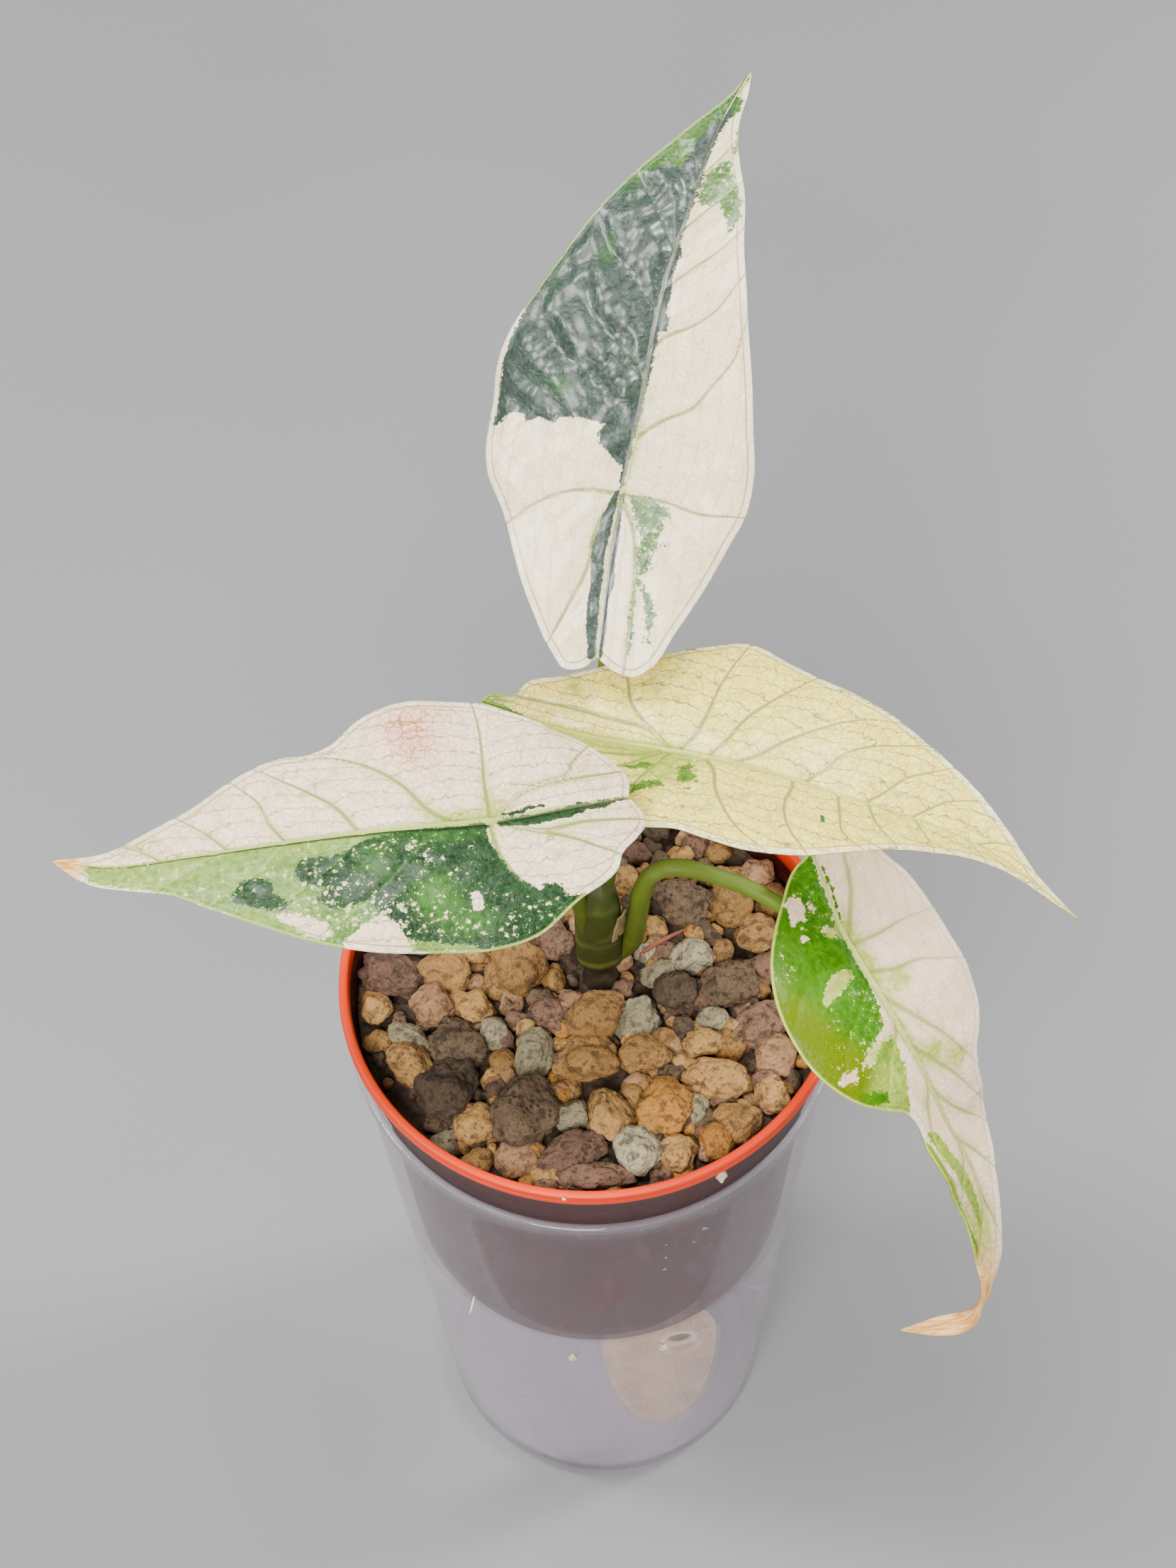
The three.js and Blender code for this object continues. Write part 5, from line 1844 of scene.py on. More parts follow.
LEAF_LEFT = Leaf(
    name="left", slot="blade_half_green", keel_end=24.6, wave=(0.5, 2.4), quilt=(0.16, 0.22),
    finish=BladeFinish(
        cream="fde3c8", cream_low="f9dabb", vein="76763c", midrib="a9b65c", pale="9fb45c", green="42702a",
        deep="142619", deep_low="284727", gloss=0.2, pebble=0.13, net=0.8, flush=1, coat=0.1, shine=0.2,
    ),
    spine=[
        (7.2, -2.7, 206, -4, 6, 8, 30, 22), (-0.9, -6.7, 210, -6, 8, 8, 30, 20),
        (-14.7, -10.7, 212.5, -8, 8, 6, 34, 14), (-32.3, -12.7, 214, -8, 8, 6, 34, 14),
        (-47.2, -13, 212, -8, 8, 8, 30, 18), (-64.5, -12, 207, -8, 8, 10, 26, 22),
        (-78.3, -10.1, 202, -8, 8, 10, 26, 24), (-87.8, -6.5, 199, -8, 8, 10, 26, 24),
    ],
    left=[
        (0, 0), (-0.6, 3), (-0.2, 5.6), (3, 8), (6.8, 10.3), (8.4, 12.7), (15, 16.2), (21.9, 20.5),
        (27, 21.5), (36, 21.3), (44.4, 20.4), (54, 17.7), (62, 14.2), (70, 10.3), (78, 6.5), (86, 4.6),
        (92.5, 3.4), (98, 1.4), (100.9, 0),
    ],
    right=[
        (0, 0), (-1.6, 3.6), (0, 7.6), (3.2, 13), (9, 16.2), (16.2, 19.2), (23.4, 22.5), (31, 23.3),
        (40, 22.2), (46, 20), (50.3, 16.5), (54, 15.1), (59, 15), (68.4, 12), (76.1, 7.8), (83.4, 5.1),
        (91.4, 2.3), (100.9, 0),
    ],
    ribs_left=[
        [(0, 24.4), (1.2, 22), (3.1, 18.2), (3.3, 10), (4.5, 2)],
        [(0, 24.5), (3.1, 18.6), (5.3, 13.9), (8.9, 8.9)], [(0, 25.2), (6, 24.8), (12, 22), (16.5, 18)],
        [(0, 33), (5, 38), (10, 43), (14.5, 50)], [(0, 45), (5, 50), (9, 56), (12.4, 62)],
        [(0, 58), (5, 63), (8.6, 69)], [(0, 70), (3.5, 76), (5.4, 81)],
    ],
    ribs_right=[
        [(0, 24.6), (3.3, 20.3), (4.7, 16), (5, 11), (5, 2.5)],
        [(0, 24.8), (4.9, 15.5), (6.1, 9.6), (7.9, 7.5), (10.5, 3)],
        [(0, 25), (7.6, 24.6), (11.9, 23.9), (17.6, 23.2), (22, 23.2)],
        [(0, 28.5), (1.1, 32.5), (3.3, 35.3), (6.9, 38.2), (10.4, 42.5), (12.6, 46.8), (14, 51),
         (14.4, 55.3)],
        [(0, 46.2), (4.7, 49.6), (7.9, 53.9), (11, 59)], [(0, 58.2), (3.3, 60.7), (7.6, 62.8), (10.5, 66)],
        [(0, 68), (3.5, 72), (6.4, 76.5)], [(0, 80), (2, 83.5), (3.3, 87)],
    ],
    green=[
        Patch([(-0.3, 95), (-1.5, 93), (-3, 92), (-3.8, 88), (-5, 82), (-7.5, 76), (-10, 70.5), (-13, 65),
               (-15.5, 60), (-17.5, 55), (-19, 50.5), (-20.2, 46), (-20.8, 38), (-21.6, 34), (-21.8, 28),
               (-21, 23), (-19, 19), (-17.3, 16), (-15.2, 13.2), (-15, 16.6), (-13, 17), (-12.3, 19),
               (-13, 20), (-11.5, 22.3), (-9, 24), (-5.5, 25.3), (-3, 26), (-0.6, 25.6), (-0.1, 27), (0, 45),
               (0, 80)]),
        Patch([(-22, 38.5), (-19, 39.6), (-16.5, 41), (-14.2, 43.3), (-15.5, 46), (-17, 48), (-18.2, 50),
               (-22, 48)], 0.4, True),
        Patch([(-17.2, 51.3), (-15, 52), (-13.2, 55), (-12.4, 58), (-12.6, 60), (-14, 58.6), (-15.6, 56.5),
               (-17.4, 53.6)], 0.6, True),
        Patch([(-15.1, 29.7), (-12.2, 29.9), (-11.7, 28.9), (-13, 28.1), (-14.9, 28.3)], 0.25, True),
        Patch([(-4.2, 39), (-3.2, 38.8), (-3.2, 37.6), (-4, 37.4)], 0.3, True),
        Patch([(-3.8, 43.9), (-3, 43.4), (-2.8, 42.2), (-3.5, 42.6)], 0.3, True),
        Patch([(-0.1, 24), (-1, 24.5), (-1.6, 22), (-2.2, 17.5), (-1.8, 15), (-2.1, 12), (-1.2, 9), (-1.5, 6),
               (-0.6, 3), (-0.4, -0.3), (0.2, -0.3), (0.3, 6), (0.45, 10), (0.1, 14), (0.1, 20)], 0.28),
        Patch([(0.6, 23), (0.95, 23), (1.1, 21), (1.5, 18.5), (1.35, 15.6), (0.9, 15.8), (0.9, 18),
               (0.6, 20.5)], 0.25),
    ],
    deep=[
        Patch([(0, 24), (-0.4, 34), (-0.9, 40), (-1.5, 45), (-3, 48), (-4, 50.5), (-3.6, 53), (-3.8, 56),
               (-6.5, 56.5), (-8.3, 55), (-9, 52), (-11, 53.5), (-12.8, 51), (-12.5, 48), (-12, 45.5),
               (-14, 44), (-16.5, 42), (-18.5, 40), (-19.4, 36), (-20.4, 30), (-24, 26), (-20, 15), (-14, 12),
               (-11, 20), (-5.5, 24.6), (-1, 24.6), (-3, 14), (-2, -2), (2.5, -2), (2, 24)], 0.5),
        Patch([(-9.8, 66.5), (-8, 66.7), (-6.2, 65.5), (-5.8, 63.5), (-6.5, 60.5), (-9, 60), (-10.5, 57.5),
               (-11.8, 58.5), (-11.3, 62), (-10.6, 64)], 0.35),
    ],
    tints={
        "pale": [Spot(-3, 68, 7, 14, 0.55), Spot(-2.5, 86, 4, 12, 0.7), Spot(-14, 60, 5, 8, 0.5),
                 Spot(-1.5, 50, 1.6, 8, 0.6), Spot(-20, 33, 3, 8, 0.4)],
        "lush": [Spot(-12, 35, 4, 4, 0.7), Spot(-17, 30, 3, 5, 0.5), Spot(-2, 33, 2, 10, 0.4),
                 Spot(-6, 44, 4, 4, 0.4)],
        "fleck": [Spot(-18, 27, 4, 10, 0.42), Spot(-16, 40, 5, 6, 0.4), Spot(-8, 34, 8, 9, 0.16),
                  Spot(-13, 50, 5, 7, 0.5), Spot(-7, 52, 4, 5, 0.4), Spot(-3, 40, 2, 9, 0.3),
                  Spot(-5, 70, 6, 14, 0.3)],
        "sap": [Spot(0.8, 30, 2.2, 6, 0.75), Spot(1.5, 23, 3.5, 3.5, 0.4), Spot(3.4, 84, 0.9, 8, 0.55),
                Spot(8, 74, 1.6, 6, 0.3), Spot(4, 36, 3, 3, 0.35), Spot(7, 24.5, 5, 1.4, 0.35),
                Spot(4.8, 16, 1.4, 6, 0.35)],
        "blush": [Spot(14.5, 36, 4.5, 4.5, 0.95), Spot(18.5, 38, 3.5, 5, 0.75), Spot(21, 31, 2, 6, 0.4)],
        "dry": [Spot(-0.6, 98, 4, 4.4), Spot(0, 101, 4, 3, 0.8)],
    },
)

LEAF_RIGHT = Leaf(
    name="right", slot="blade_cream", keel_end=37.5, wave=(0.5, 4.1), quilt=(0.3, 0.3),
    finish=BladeFinish(
        cream="ffed7a", cream_low="fce468", vein="7f7a4e", midrib="bcc25c", pale="a4b44c", green="386a14",
        deep="2f5c28", deep_low="3f6f34", gloss=0.22, pebble=0.1, net=1, flush=0.3, coat=0.25, shine=0.4,
    ),
    spine=[
        (-17.5, 29.6, 189, 0, 22, 12, 30, 20), (-1.5, 19.1, 194, 0, 24, 14, 32, 22),
        (14.7, 12.5, 197, 2, 24, 22, 34, 24), (27.2, 6.7, 200, 4, 22, 26, 34, 26),
        (42, -0.4, 201, 4, 22, 28, 34, 30), (54.4, -4.4, 199, 2, 22, 28, 34, 30),
        (66.8, -9, 195, 0, 20, 26, 32, 30), (80.8, -18.1, 188, 0, 16, 20, 30, 30),
    ],
    left=[
        (0, 0), (0.8, 1.8), (5.8, 3.6), (6.6, 6), (12.5, 9.3), (21.3, 13.6), (30.8, 18), (38, 21.2),
        (44.3, 23.3), (50.5, 21.8), (57.7, 19.3), (65, 18), (72.5, 17), (81, 12.6), (89.2, 8.6), (96.3, 4.4),
        (102.6, 1.6), (107, 0.8), (113.3, 0),
    ],
    right=[
        (0, 0), (-1, 2.2), (-0.6, 5), (3, 8.5), (10, 12.5), (18, 16), (27, 18.6), (35, 19.4), (41.3, 18.2),
        (46, 17.5), (52, 18.4), (58, 18.6), (64, 16.8), (72.9, 12.3), (82.4, 8.1), (93, 4), (101, 1.8),
        (107, 0.9), (113.3, 0),
    ],
    ribs_left=[
        [(0, 37.5), (3, 33), (3.6, 27), (4.2, 18), (3.4, 8)],
        [(0, 37.8), (4.6, 31.3), (7.4, 28.4), (11, 26.6)],
        [(0, 39), (3.9, 41.3), (7.4, 42), (13.1, 42.4), (20.3, 43.4)],
        [(0, 44.2), (1.5, 45.6), (8.1, 48.8), (13.9, 52.7), (18.1, 55.4)],
        [(0, 48.6), (1.7, 52), (5.3, 55.6), (9.6, 60.6), (13.9, 67.7), (15, 71.5)],
        [(0, 61.5), (3.1, 64.2), (6.7, 66.3), (8.9, 69.2), (11.7, 76)],
        [(0, 72.4), (2.4, 74.9), (6, 77.7), (9.2, 82)], [(0, 80.3), (2.4, 82.7), (4.6, 84.9), (6.2, 88)],
        [(0, 92), (2, 95), (3.2, 98)],
    ],
    ribs_right=[
        [(0, 37.5), (2.6, 33), (3.6, 26), (4.4, 16), (4.2, 4)], [(0, 37.6), (5, 32), (9, 25), (12, 16)],
        [(0, 38), (5, 36.5), (11, 34.5), (17, 35)],
        [(0, 43.5), (3.3, 47), (7.6, 49.2), (11.1, 52), (14.7, 56.3), (16.6, 60.6)],
        [(0, 59.8), (2.4, 60.6), (6.1, 60.9), (10.4, 62.7), (14.3, 66.3)],
        [(0, 67.8), (4.7, 69.2), (9, 70.6), (11.6, 74.2)], [(0, 73), (4.7, 74.9), (8, 78.2)],
        [(0, 80.8), (5.2, 84.4)], [(0, 90), (2.6, 94)],
    ],
    green=[
        Patch([(3, 42.3), (3.5, 44), (5, 43.5), (6, 45.5), (7.3, 46), (6.8, 44.5), (8.3, 43.5), (8, 42),
               (6, 42.2), (4.5, 41)], 0.6),
        Patch([(8.3, 39.6), (9.5, 40.8), (10, 38.5), (11, 37.5), (11.8, 35.5), (12.5, 34.2), (11, 34.1),
               (10, 33.6), (9.3, 36), (8.4, 37.5)], 0.65),
        Patch([(4.3, 36.8), (5.6, 35.7), (6, 34), (7, 33), (6.4, 31), (5.2, 31.3), (5.5, 33),
               (4.4, 33.5)], 0.55),
        Patch([(8.5, 45.5), (9.2, 45.4), (9, 44.3)], 0.3),
        Patch([(6.6, 66.7), (8.2, 67.1), (8.4, 67.8), (6.8, 67.4)], 0.05),
        Patch([(0.1, 37), (0.35, 36), (0.3, 20), (0.2, 6), (0.3, -2), (-1, -2), (-1.4, 3), (-0.8, 6),
               (-0.3, 10), (-0.15, 20), (-0.1, 36)], 0.18),
        Patch([(-4.4, 6.4), (-3.2, 6), (-2.2, 3.6), (-1.2, 1.2), (-2.4, 1), (-4.2, 3.8)], 0.25),
    ],
    deep=[
        Patch([(6, 66), (9.5, 66), (9.5, 69), (6, 69)], 0.1),
    ],
    tints={
        "pale": [Spot(-1, 3, 4, 5, 0.4), Spot(0, 20, 1, 30, 0.45)],
        "sap": [Spot(6.5, 39, 5, 6, 0.75), Spot(1.6, 24, 2, 14, 0.8), Spot(1, 36, 3, 5, 0.7),
                Spot(1.2, 50, 1.6, 14, 0.25), Spot(-1, 3, 2.4, 4, 0.7)],
    },
)

LEAF_DROOPING = Leaf(
    name="drooping", slot="blade_yellow_green", keel_end=20.3, wave=(0.4, 0.9), quilt=(0.3, 0.14),
    finish=BladeFinish(
        cream="ffe2c6", cream_low="fbd8b6", vein="a6a978", midrib="bcc672", pale="b8c654", green="4c7e06",
        deep="2c6206", deep_low="4a8208", gloss=0.24, pebble=0.14, net=0.5, flush=0.9, coat=0.05, shine=0.12,
        bright="5f7400", ribbing=0.6,
    ),
    spine=[
        (38.2, 5.8, 177, 0, 14, 16, 30, 34), (40.3, -3.7, 177.5, 0, 14, 16, 30, 34),
        (43.7, -13.3, 175, 0, 16, 18, 34, 38), (49.5, -22.7, 170, 0, 18, 18, 34, 38),
        (55.2, -29.4, 161, 0, 18, 16, 34, 38), (59.8, -34, 150, 0, 16, 14, 34, 34),
        (64.6, -37.4, 139, 0, 14, 12, 30, 30), (67.6, -41.7, 128, 0, 12, 10, 26, 26),
        (68.6, -45.5, 119, -20, 10, 8, 20, 20), (67.5, -49, 111, -60, 4, 4, 10, 10),
        (64.7, -50.3, 106, -40, 4, 4, 10, 10), (59.1, -51.1, 105, -10, 4, 4, 10, 10),
        (53, -51.9, 106, 0, 4, 4, 10, 10),
    ],
    left=[
        (0, 0), (-2, 2.5), (-2, 6), (1, 9.2), (6.3, 11.8), (12.4, 14.7), (20, 16.4), (29, 16.4), (37, 16.4),
        (42, 15.5), (45.5, 13.2), (48.3, 11), (54, 9.7), (61, 9.1), (66, 7), (72, 4.5), (80, 3), (90, 2.1),
        (98, 1), (102, 0.6), (106, 1.7), (112, 1.7), (116, 0.9), (119.3, 0),
    ],
    right=[
        (0, 0), (2.2, 1.2), (4.8, 4.1), (10.5, 8.4), (14.5, 11.5), (19.3, 14.8), (24.5, 17.2), (30, 18),
        (34.4, 17.6), (38, 16.3), (42, 14), (46, 10.4), (49.5, 7), (52.5, 6.2), (58.5, 7), (63, 7.3),
        (72, 6.2), (80, 4.5), (90, 3.3), (97, 1.8), (102, 0.7), (106, 1.6), (112, 1.8), (116.5, 0.8),
        (119.3, 0),
    ],
    ribs_left=[
        [(0, 20), (2, 16), (4, 11), (5, 4)], [(0, 20.3), (5, 20.7), (10, 20.2), (14.8, 20.2)],
        [(0, 25.4), (4, 27.5), (9, 28.5), (13.5, 31)],
        [(0, 29.5), (2.4, 34.4), (4.6, 38.7), (6.4, 42.3), (8.1, 47.3)],
        [(0, 40), (2.5, 45), (5, 50), (7, 56)], [(0, 50), (2, 55), (5.5, 62)], [(0, 62), (3, 70)],
        [(0, 76), (1.6, 84)],
    ],
    ribs_right=[
        [(0, 20), (2, 14), (3.5, 8)], [(0, 20.3), (6, 22), (12, 24), (16.5, 27)],
        [(0, 27), (6, 31), (12, 35), (15, 39)], [(0, 36), (5, 40), (9, 44.5)], [(0, 48), (3, 53), (5, 60)],
        [(0, 64), (3.4, 72)], [(0, 78), (2, 86)],
    ],
    green=[
        Patch([(0.2, -1), (3, 0), (6, 5), (12, 12), (17, 19), (20, 26), (20, 33), (18.5, 37), (16.5, 41),
               (13, 45), (8, 49), (6.4, 49.5), (5, 46), (3.5, 43), (2.6, 39), (2.4, 33), (1.2, 31), (0.6, 27),
               (0.8, 23.5), (0.3, 21), (0.8, 19.5), (2.2, 17.5), (1.2, 16.5), (0.5, 14), (0.5, 8)], 0.55),
        Patch([(2.5, 25.5), (5, 26), (8, 26.8), (10, 27), (9.8, 25.8), (8, 24.5), (6, 23.5), (3.5, 23.4),
               (2.5, 24.4)], 0.45, True),
        Patch([(5.5, 14.5), (7, 14), (8.2, 14.5), (7.8, 12.5), (8.3, 11), (7, 10), (5.5, 10.5),
               (5.2, 12)], 0.5, True),
        Patch([(1.5, 18.6), (3, 18.2), (4, 16.6), (2.5, 16)], 0.5, True),
        Patch([(6.3, 17.4), (8.1, 17.3), (7.6, 16)], 0.3, True),
        Patch([(3.7, 14.2), (4.4, 12.5), (3.5, 11.8)], 0.35, True),
        # This cut leaves a small cream island in the green where the lower margin shows a glint: a painted
        # highlight.
        Patch([(11.2, 37), (12.5, 38.4), (14.2, 38.2), (15.8, 37), (14, 36.4)], 0.6, True),
        Patch([(1.2, 36.6), (4.6, 36.4), (8.6, 38), (10.6, 37.6), (9, 36.2), (5, 35),
               (2.2, 34.6)], 0.6, True),
        Patch([(2.8, 92), (5.4, 78), (7, 72), (8, 64), (7.6, 57), (6.4, 55), (5.8, 58), (6.2, 63), (5.2, 71),
               (4, 79), (2.4, 88)], 0.2),
        Patch([(1.4, 84), (2.8, 76), (4.2, 69), (5.2, 62), (5.3, 55), (3.4, 57), (3.2, 62), (2, 68),
               (1, 76)]),
        Patch([(-1, 5), (-1.3, 10), (-1, 13), (-0.5, 16.5), (-0.15, 17), (-0.6, 13), (-0.75, 10),
               (-0.7, 5)], 0.35),
    ],
    deep=[
        Patch([(0, 0), (3, 1), (8, 7), (12, 13), (14.5, 18), (14, 22), (12.5, 25), (11.5, 29), (12, 33),
               (10, 36), (5, 35.2), (2.6, 34), (1, 30), (0.4, 22), (0.2, 10)], 0.9),
        Patch([(9, 45), (12, 43.6), (14, 41.5), (13.4, 40), (11, 41.5), (8.6, 43.6)], 0.6),
        Patch([(2.8, 91), (5.4, 78), (7.2, 71), (8.2, 64), (7.8, 58), (6.8, 57), (6.9, 64), (6, 71),
               (4.6, 78), (2.6, 88)], 0.2),
        Patch([(-1.6, 4), (-1.8, 12), (-0.6, 18), (0.1, 17), (-0.3, 4)], 0.2),
    ],
    tints={
        "pale": [Spot(8, 43, 6, 5, 0.8), Spot(3.5, 66, 3, 14, 0.7)],
        "lush": [Spot(11, 20, 5, 12, 0.5), Spot(6, 30, 4, 5, 0.2)],
        "fleck": [Spot(9, 31, 6, 6, 0.14), Spot(5, 12, 3, 5, 0.36), Spot(13, 18, 3, 5, 0.2),
                  Spot(8, 37, 5, 3, 0.3), Spot(3, 30, 2, 5, 0.3)],
        "sap": [Spot(-0.5, 20, 2.4, 7, 0.6), Spot(-0.6, 34, 1.6, 14, 0.45), Spot(-3.2, 43.5, 2.8, 2.8, 0.75),
                Spot(-6.8, 47.3, 2.6, 2.4, 0.75), Spot(-4.6, 29.6, 2.6, 2.6, 0.7), Spot(6, 25.2, 7, 3, 0.9),
                Spot(6.5, 37, 6, 2.2, 0.7), Spot(3, 17.5, 3, 3, 0.6), Spot(2.5, 84, 4, 14, 0.75),
                Spot(3, 50, 2, 6, 0.4)],
        "gold": [Spot(16.5, 31, 6.5, 11), Spot(12, 37, 5, 4, 0.6), Spot(17, 14, 4, 6, 0.25)],
        "dry": [Spot(0, 118, 8, 16), Spot(1, 97, 7, 13, 0.6)],
        # The first blush spot gives that island its own brownish red; the cream under it is the painted
        # highlight.
        "blush": [Spot(13.5, 37.4, 2, 1.2, 0.8), Spot(-10, 40, 6, 14, 0.12)],
    },
)


# Stem and stalks

class StalkTissue(Enum):
    """Foot, middle and top display colours of the stem and of each stalk."""

    # The stem's dark brown foot is a painted shadow in the hollow at its foot; its dark olive middle and top
    # are partly its own colour and partly painted shade under the leaves.
    STEM = ("2a2014", "363d12", "3b4516")
    BACK = ("4a5216", "647c20", "83a03c")
    LEFT = ("4a5216", "647c20", "88a344")
    # The right stalk's darker foot and middle are painted shade.
    RIGHT = ("363d12", "4e6218", "93aa4c")
    DROOPING = ("4c5414", "627422", "7c9a32")


@dataclass(frozen=True)
class StalkFinish:
    """Smooth living tissue with fine lengthwise streaks; the stem has a pale ring at half its height."""

    name: str
    tissue: StalkTissue
    ring: str = "8a9440"
    blotched: str = "93a75a"

    def material(self) -> bpy.types.Material:
        """Makes the tissue.

        Returns:
            The material.
        """
        foot, middle, top = self.tissue.value
        tree = Tree(self.name)
        skin = tree.place("unrolled")
        share = tree.number("share")
        streaks = tree.noise(tree.scaled(skin, (1, 0.12, 1)), 1.8, 4.0)
        blotch = tree.noise(skin, 0.22, 2.0)
        # On the stem the dark brown foot colour, a painted shadow, stops sharply just above the stones.
        low = (0.44, 0.49) if self.tissue is StalkTissue.STEM else (0.0, 0.5)
        color = tree.layers(foot, (share.ease(*low), middle), (share.ease(0.5, 1.0), top))
        if self.tissue is StalkTissue.STEM:
            color = tree.mix((1 - abs(share - 0.50).ease(0.0, 0.035)) * 0.3, color, self.ring)
        color = tree.layers(color, (streaks.ease(0.5, 0.8) * 0.35, foot),
                            (blotch.ease(0.5, 0.8) * 0.2, self.blotched))
        return tree.surface({
            "Base Color": color, "Roughness": 0.5 + streaks * 0.15, "Specular IOR Level": 0.3,
            "Subsurface Weight": 0.1, "Subsurface Radius": (1.0, 0.8, 0.3), "Subsurface Scale": 0.0015,
            "Normal": tree.bump(streaks, 0.05),
        })


def unrolled(stations: Sequence[Sequence[float]], steps: int, sides: int) -> Array:
    """Coordinates on a rod's skin: millimetres along it, and round it as a circle.

    Args:
        stations: position and radius along the rod.
        steps: rings along it.
        sides: corners round it.

    Returns:
        One row for each corner.
    """
    rows = along_curve(stations, steps + 1)
    length = chain_lengths(rows[:, :3])
    angles = 2 * np.pi * np.arange(sides) / sides
    x = np.outer(np.ones(steps + 1), np.cos(angles) * 2)
    z = np.outer(np.ones(steps + 1), np.sin(angles) * 2)
    return np.column_stack([x.ravel(), np.repeat(length, sides), z.ravel()])


@dataclass
class Petiole:
    """One leaf's stalk, which runs into the midrib under its blade."""

    leaf: Leaf
    tissue: StalkTissue
    stations: Sequence[Sequence[float]]
    sunk: float = 0.9
    steps: int = 130
    sides: int = 28

    def build(self) -> None:
        """Makes the stalk."""
        notch_to_keel = np.array([float(self.leaf.keel_end)])
        under = self.leaf.in_space(np.zeros(1), notch_to_keel, np.array([-self.sunk]))[0]
        path = [*self.stations[:-1], (*under, self.stations[-1][3])]

        def swell(share: Array, angle: Array) -> Array:
            """A shallow channel on one side, and a flare at the blade."""
            channel = 1 - 0.07 * np.exp(-((angle - math.pi) / 0.5) ** 2)
            return channel * (1 + 0.25 * ease(share, 0.95, 1.0)) * (1 + 0.10 * (1 - ease(share, 0.0, 0.12)))

        points, faces, share = rod(path, self.steps, self.sides, swell)
        name = self.leaf.name
        material = StalkFinish(f"stalk_{name}_tissue", self.tissue).material()
        piece = make_piece(f"stalk_{name}", points, faces, material, [f"petiole_{name}"])
        paint(piece, share=share, unrolled=unrolled(path, self.steps, self.sides))


@dataclass
class SheathStrip:
    """The dried strip of an old sheath that clings to the stem."""

    x: float = 1.7
    y: float = 5.0
    z: float = 156
    height: float = 9
    lean: float = 1.4
    radius: float = 4.6
    flare: float = 0.35
    skins: Point = (0.25, -0.05)
    heading: float = -0.62
    arc: float = 1.0
    narrowing: float = 0.5
    rows: int = 40
    columns: int = 12
    finish: GrainFinish = GrainFinish("dry_sheath", "b0956a", "7c7438", 2200.0, 0.8, 0.1, (1, 1, 0.1))

    def build(self) -> None:
        """Makes the strip."""
        points = []
        for skin in self.skins:
            for share in (i / (self.rows - 1) for i in range(self.rows)):
                for j in range(self.columns):
                    arc = self.arc - self.narrowing * share
                    angle = self.heading + (j / (self.columns - 1) - 0.5) * arc
                    r = self.radius + skin + self.flare * share * share + 0.06 * math.sin(9 * share + j)
                    y = self.y - self.lean * share + r * math.sin(angle)
                    points.append([self.x + r * math.cos(angle), y, self.z + self.height * share])
        faces = strip_faces(self.rows, self.columns, self.columns, 1)
        make_piece("sheath_strip", np.array(points), faces, self.finish.material())


@dataclass
class RedSliver:
    """The reddish sliver that lies on the stones beside the stem."""

    stations: Sequence[Sequence[float]] = (
        (8.8, 5.9, 143.2, 0.25), (11.2, 7.3, 143.7, 0.42), (14.2, 9.0, 143.8, 0.4), (17, 10.6, 143.5, 0.2),
    )
    steps: int = 30
    sides: int = 12
    finish: GrainFinish = GrainFinish("red_sliver", "6e3524", "925038", 900.0, 0.7, 0.1)

    def build(self) -> None:
        """Makes the sliver."""
        points, faces, _ = rod(self.stations, self.steps, self.sides)
        make_piece("red_sliver", points, faces, self.finish.material())


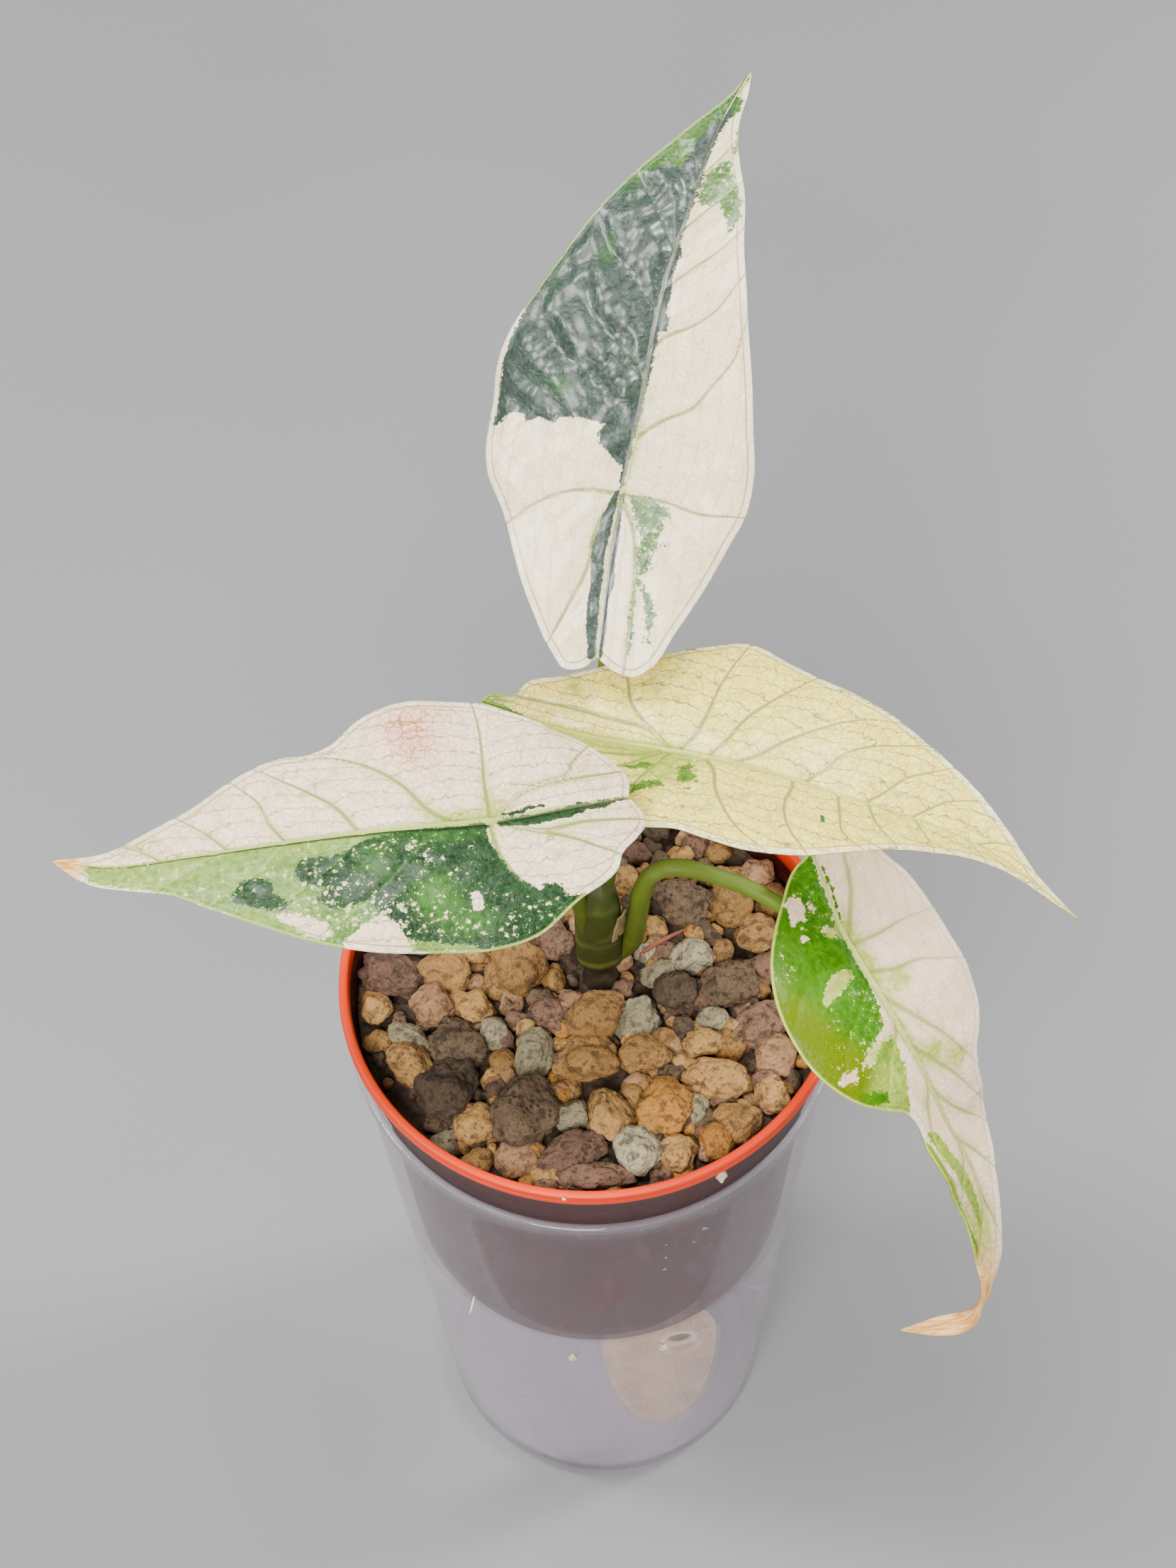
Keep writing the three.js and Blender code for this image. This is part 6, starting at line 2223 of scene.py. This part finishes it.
@dataclass
class Stem:
    """The stem with its sheaths, its corm and its roots, and what lies at its foot."""

    foot: Point = (1.7, 3.3)
    stations: Sequence[Sequence[float]] = (
        (1.7, 3.2, 124.5, 2.4), (1.7, 3.4, 128, 5), (1.7, 4.0, 132, 5.6), (1.7, 4.8, 137, 4.0),
        (1.7, 5.4, 141.2, 2.7), (1.7, 5.4, 143.4, 2.8), (1.7, 5.3, 145.4, 4.0), (1.7, 5.1, 148, 4.3),
        (1.6, 4.6, 153, 4.2), (1.6, 4.0, 158, 4.1), (1.7, 3.6, 163, 4), (1.8, 3.5, 166.5, 3.6),
        (1.9, 3.6, 169.5, 2.5), (1.9, 3.8, 171.5, 0.8),
    )
    root: Sequence[Sequence[float]] = ((1, 130, 1.2), (8, 125, 1), (14, 113, 0.8), (17, 96, 0.7))
    headings: Sequence[float] = (35, 125, 200, 290)
    steps: int = 150
    sides: int = 64
    root_steps: int = 40
    root_sides: int = 12
    dried: SheathStrip = field(default_factory=SheathStrip)
    sliver: RedSliver = field(default_factory=RedSliver)

    @staticmethod
    def swell(share: Array, angle: Array) -> Array:
        """Folds where the sheaths clasp each other, and rings where old ones sat.

        Args:
            share: share of the length.
            angle: angle round the stem.

        Returns:
            A factor on the radius.
        """
        folds = 1 + 0.055 * np.cos(3 * angle + 2.5 * share) + 0.015 * np.cos(7 * angle - 3 * share)
        lower = 0.03 * np.exp(-((share - 0.42) / 0.008) ** 2)
        upper = 0.025 * np.exp(-((share - 0.6) / 0.007) ** 2)
        return folds * (1 + lower + upper)

    def main_body(self) -> None:
        """Makes the stem, the corm and the roots."""
        points, faces, share = rod(self.stations, self.steps, self.sides, self.swell)
        skin = unrolled(self.stations, self.steps, self.sides)
        parts, shares, skins = [(points, faces)], [share], [skin]
        for heading in self.headings:
            c, s = math.cos(math.radians(heading)), math.sin(math.radians(heading))
            path = [(self.foot[0] + out * c, self.foot[1] + out * s, z, r) for out, z, r in self.root]
            points, faces, share = rod(path, self.root_steps, self.root_sides)
            parts.append((points, faces))
            shares.append(share * 0)
            skins.append(unrolled(path, self.root_steps, self.root_sides))
        points, faces = joined(parts)
        material = StalkFinish("stem_tissue", StalkTissue.STEM).material()
        piece = make_piece("stem_body", points, faces, material, ["stem"])
        paint(piece, share=np.concatenate(shares), unrolled=np.vstack(skins))

    def build(self) -> None:
        """Makes the stem and what lies at its foot."""
        self.main_body()
        self.dried.build()
        self.sliver.build()


STALKS: dict[str, Sequence[Sequence[float]]] = {
    "back": [
        (1.7, 5.5, 158, 1.5), (2, 9.5, 168, 1.5), (3, 24, 184, 1.4), (5.5, 40, 201, 1.3),
        (7.9, 50.4, 220, 1.2),
    ],
    "left": [(-0.3, 2.3, 158, 1.5), (-2, 1.3, 170, 1.5), (-7, -3.5, 192, 1.4), (-14.8, -10.8, 214.5, 1.2)],
    "right": [(2.6, 3.0, 158, 1.5), (3.2, 4.6, 170, 1.5), (7.2, 8.6, 185, 1.4), (14.9, 12.7, 199, 1.2)],
    "drooping": [
        (4.6, 5.0, 145.5, 1.5), (6.9, 4.3, 150, 1.9), (8.4, 3.4, 160, 1.85), (9.4, 3.2, 168.5, 1.8),
        (11.2, 3.2, 173.7, 1.6), (14, 3, 175.8, 1.6), (17.5, 2.8, 175.5, 1.6), (22, 2.4, 173.6, 1.5),
        (26, 1.6, 172, 1.5), (31.6, -0.8, 170.2, 1.4), (38, -6.5, 170.3, 1.3), (43.6, -13.4, 177, 1.2),
    ],
}


def main() -> None:
    """Builds the scene piece by piece."""
    logging.basicConfig(level=logging.INFO, format="%(message)s")
    Studio().build()
    ClearCup().build()
    NurseryPot().build()
    Wick().build()
    Litter().build()
    GravelBed().build()
    Stem().build()
    for leaf in (LEAF_BACK, LEAF_LEFT, LEAF_RIGHT, LEAF_DROOPING):
        leaf.build()
        Petiole(leaf, StalkTissue[leaf.name.upper()], STALKS[leaf.name]).build()


if __name__ == "__main__":
    main()
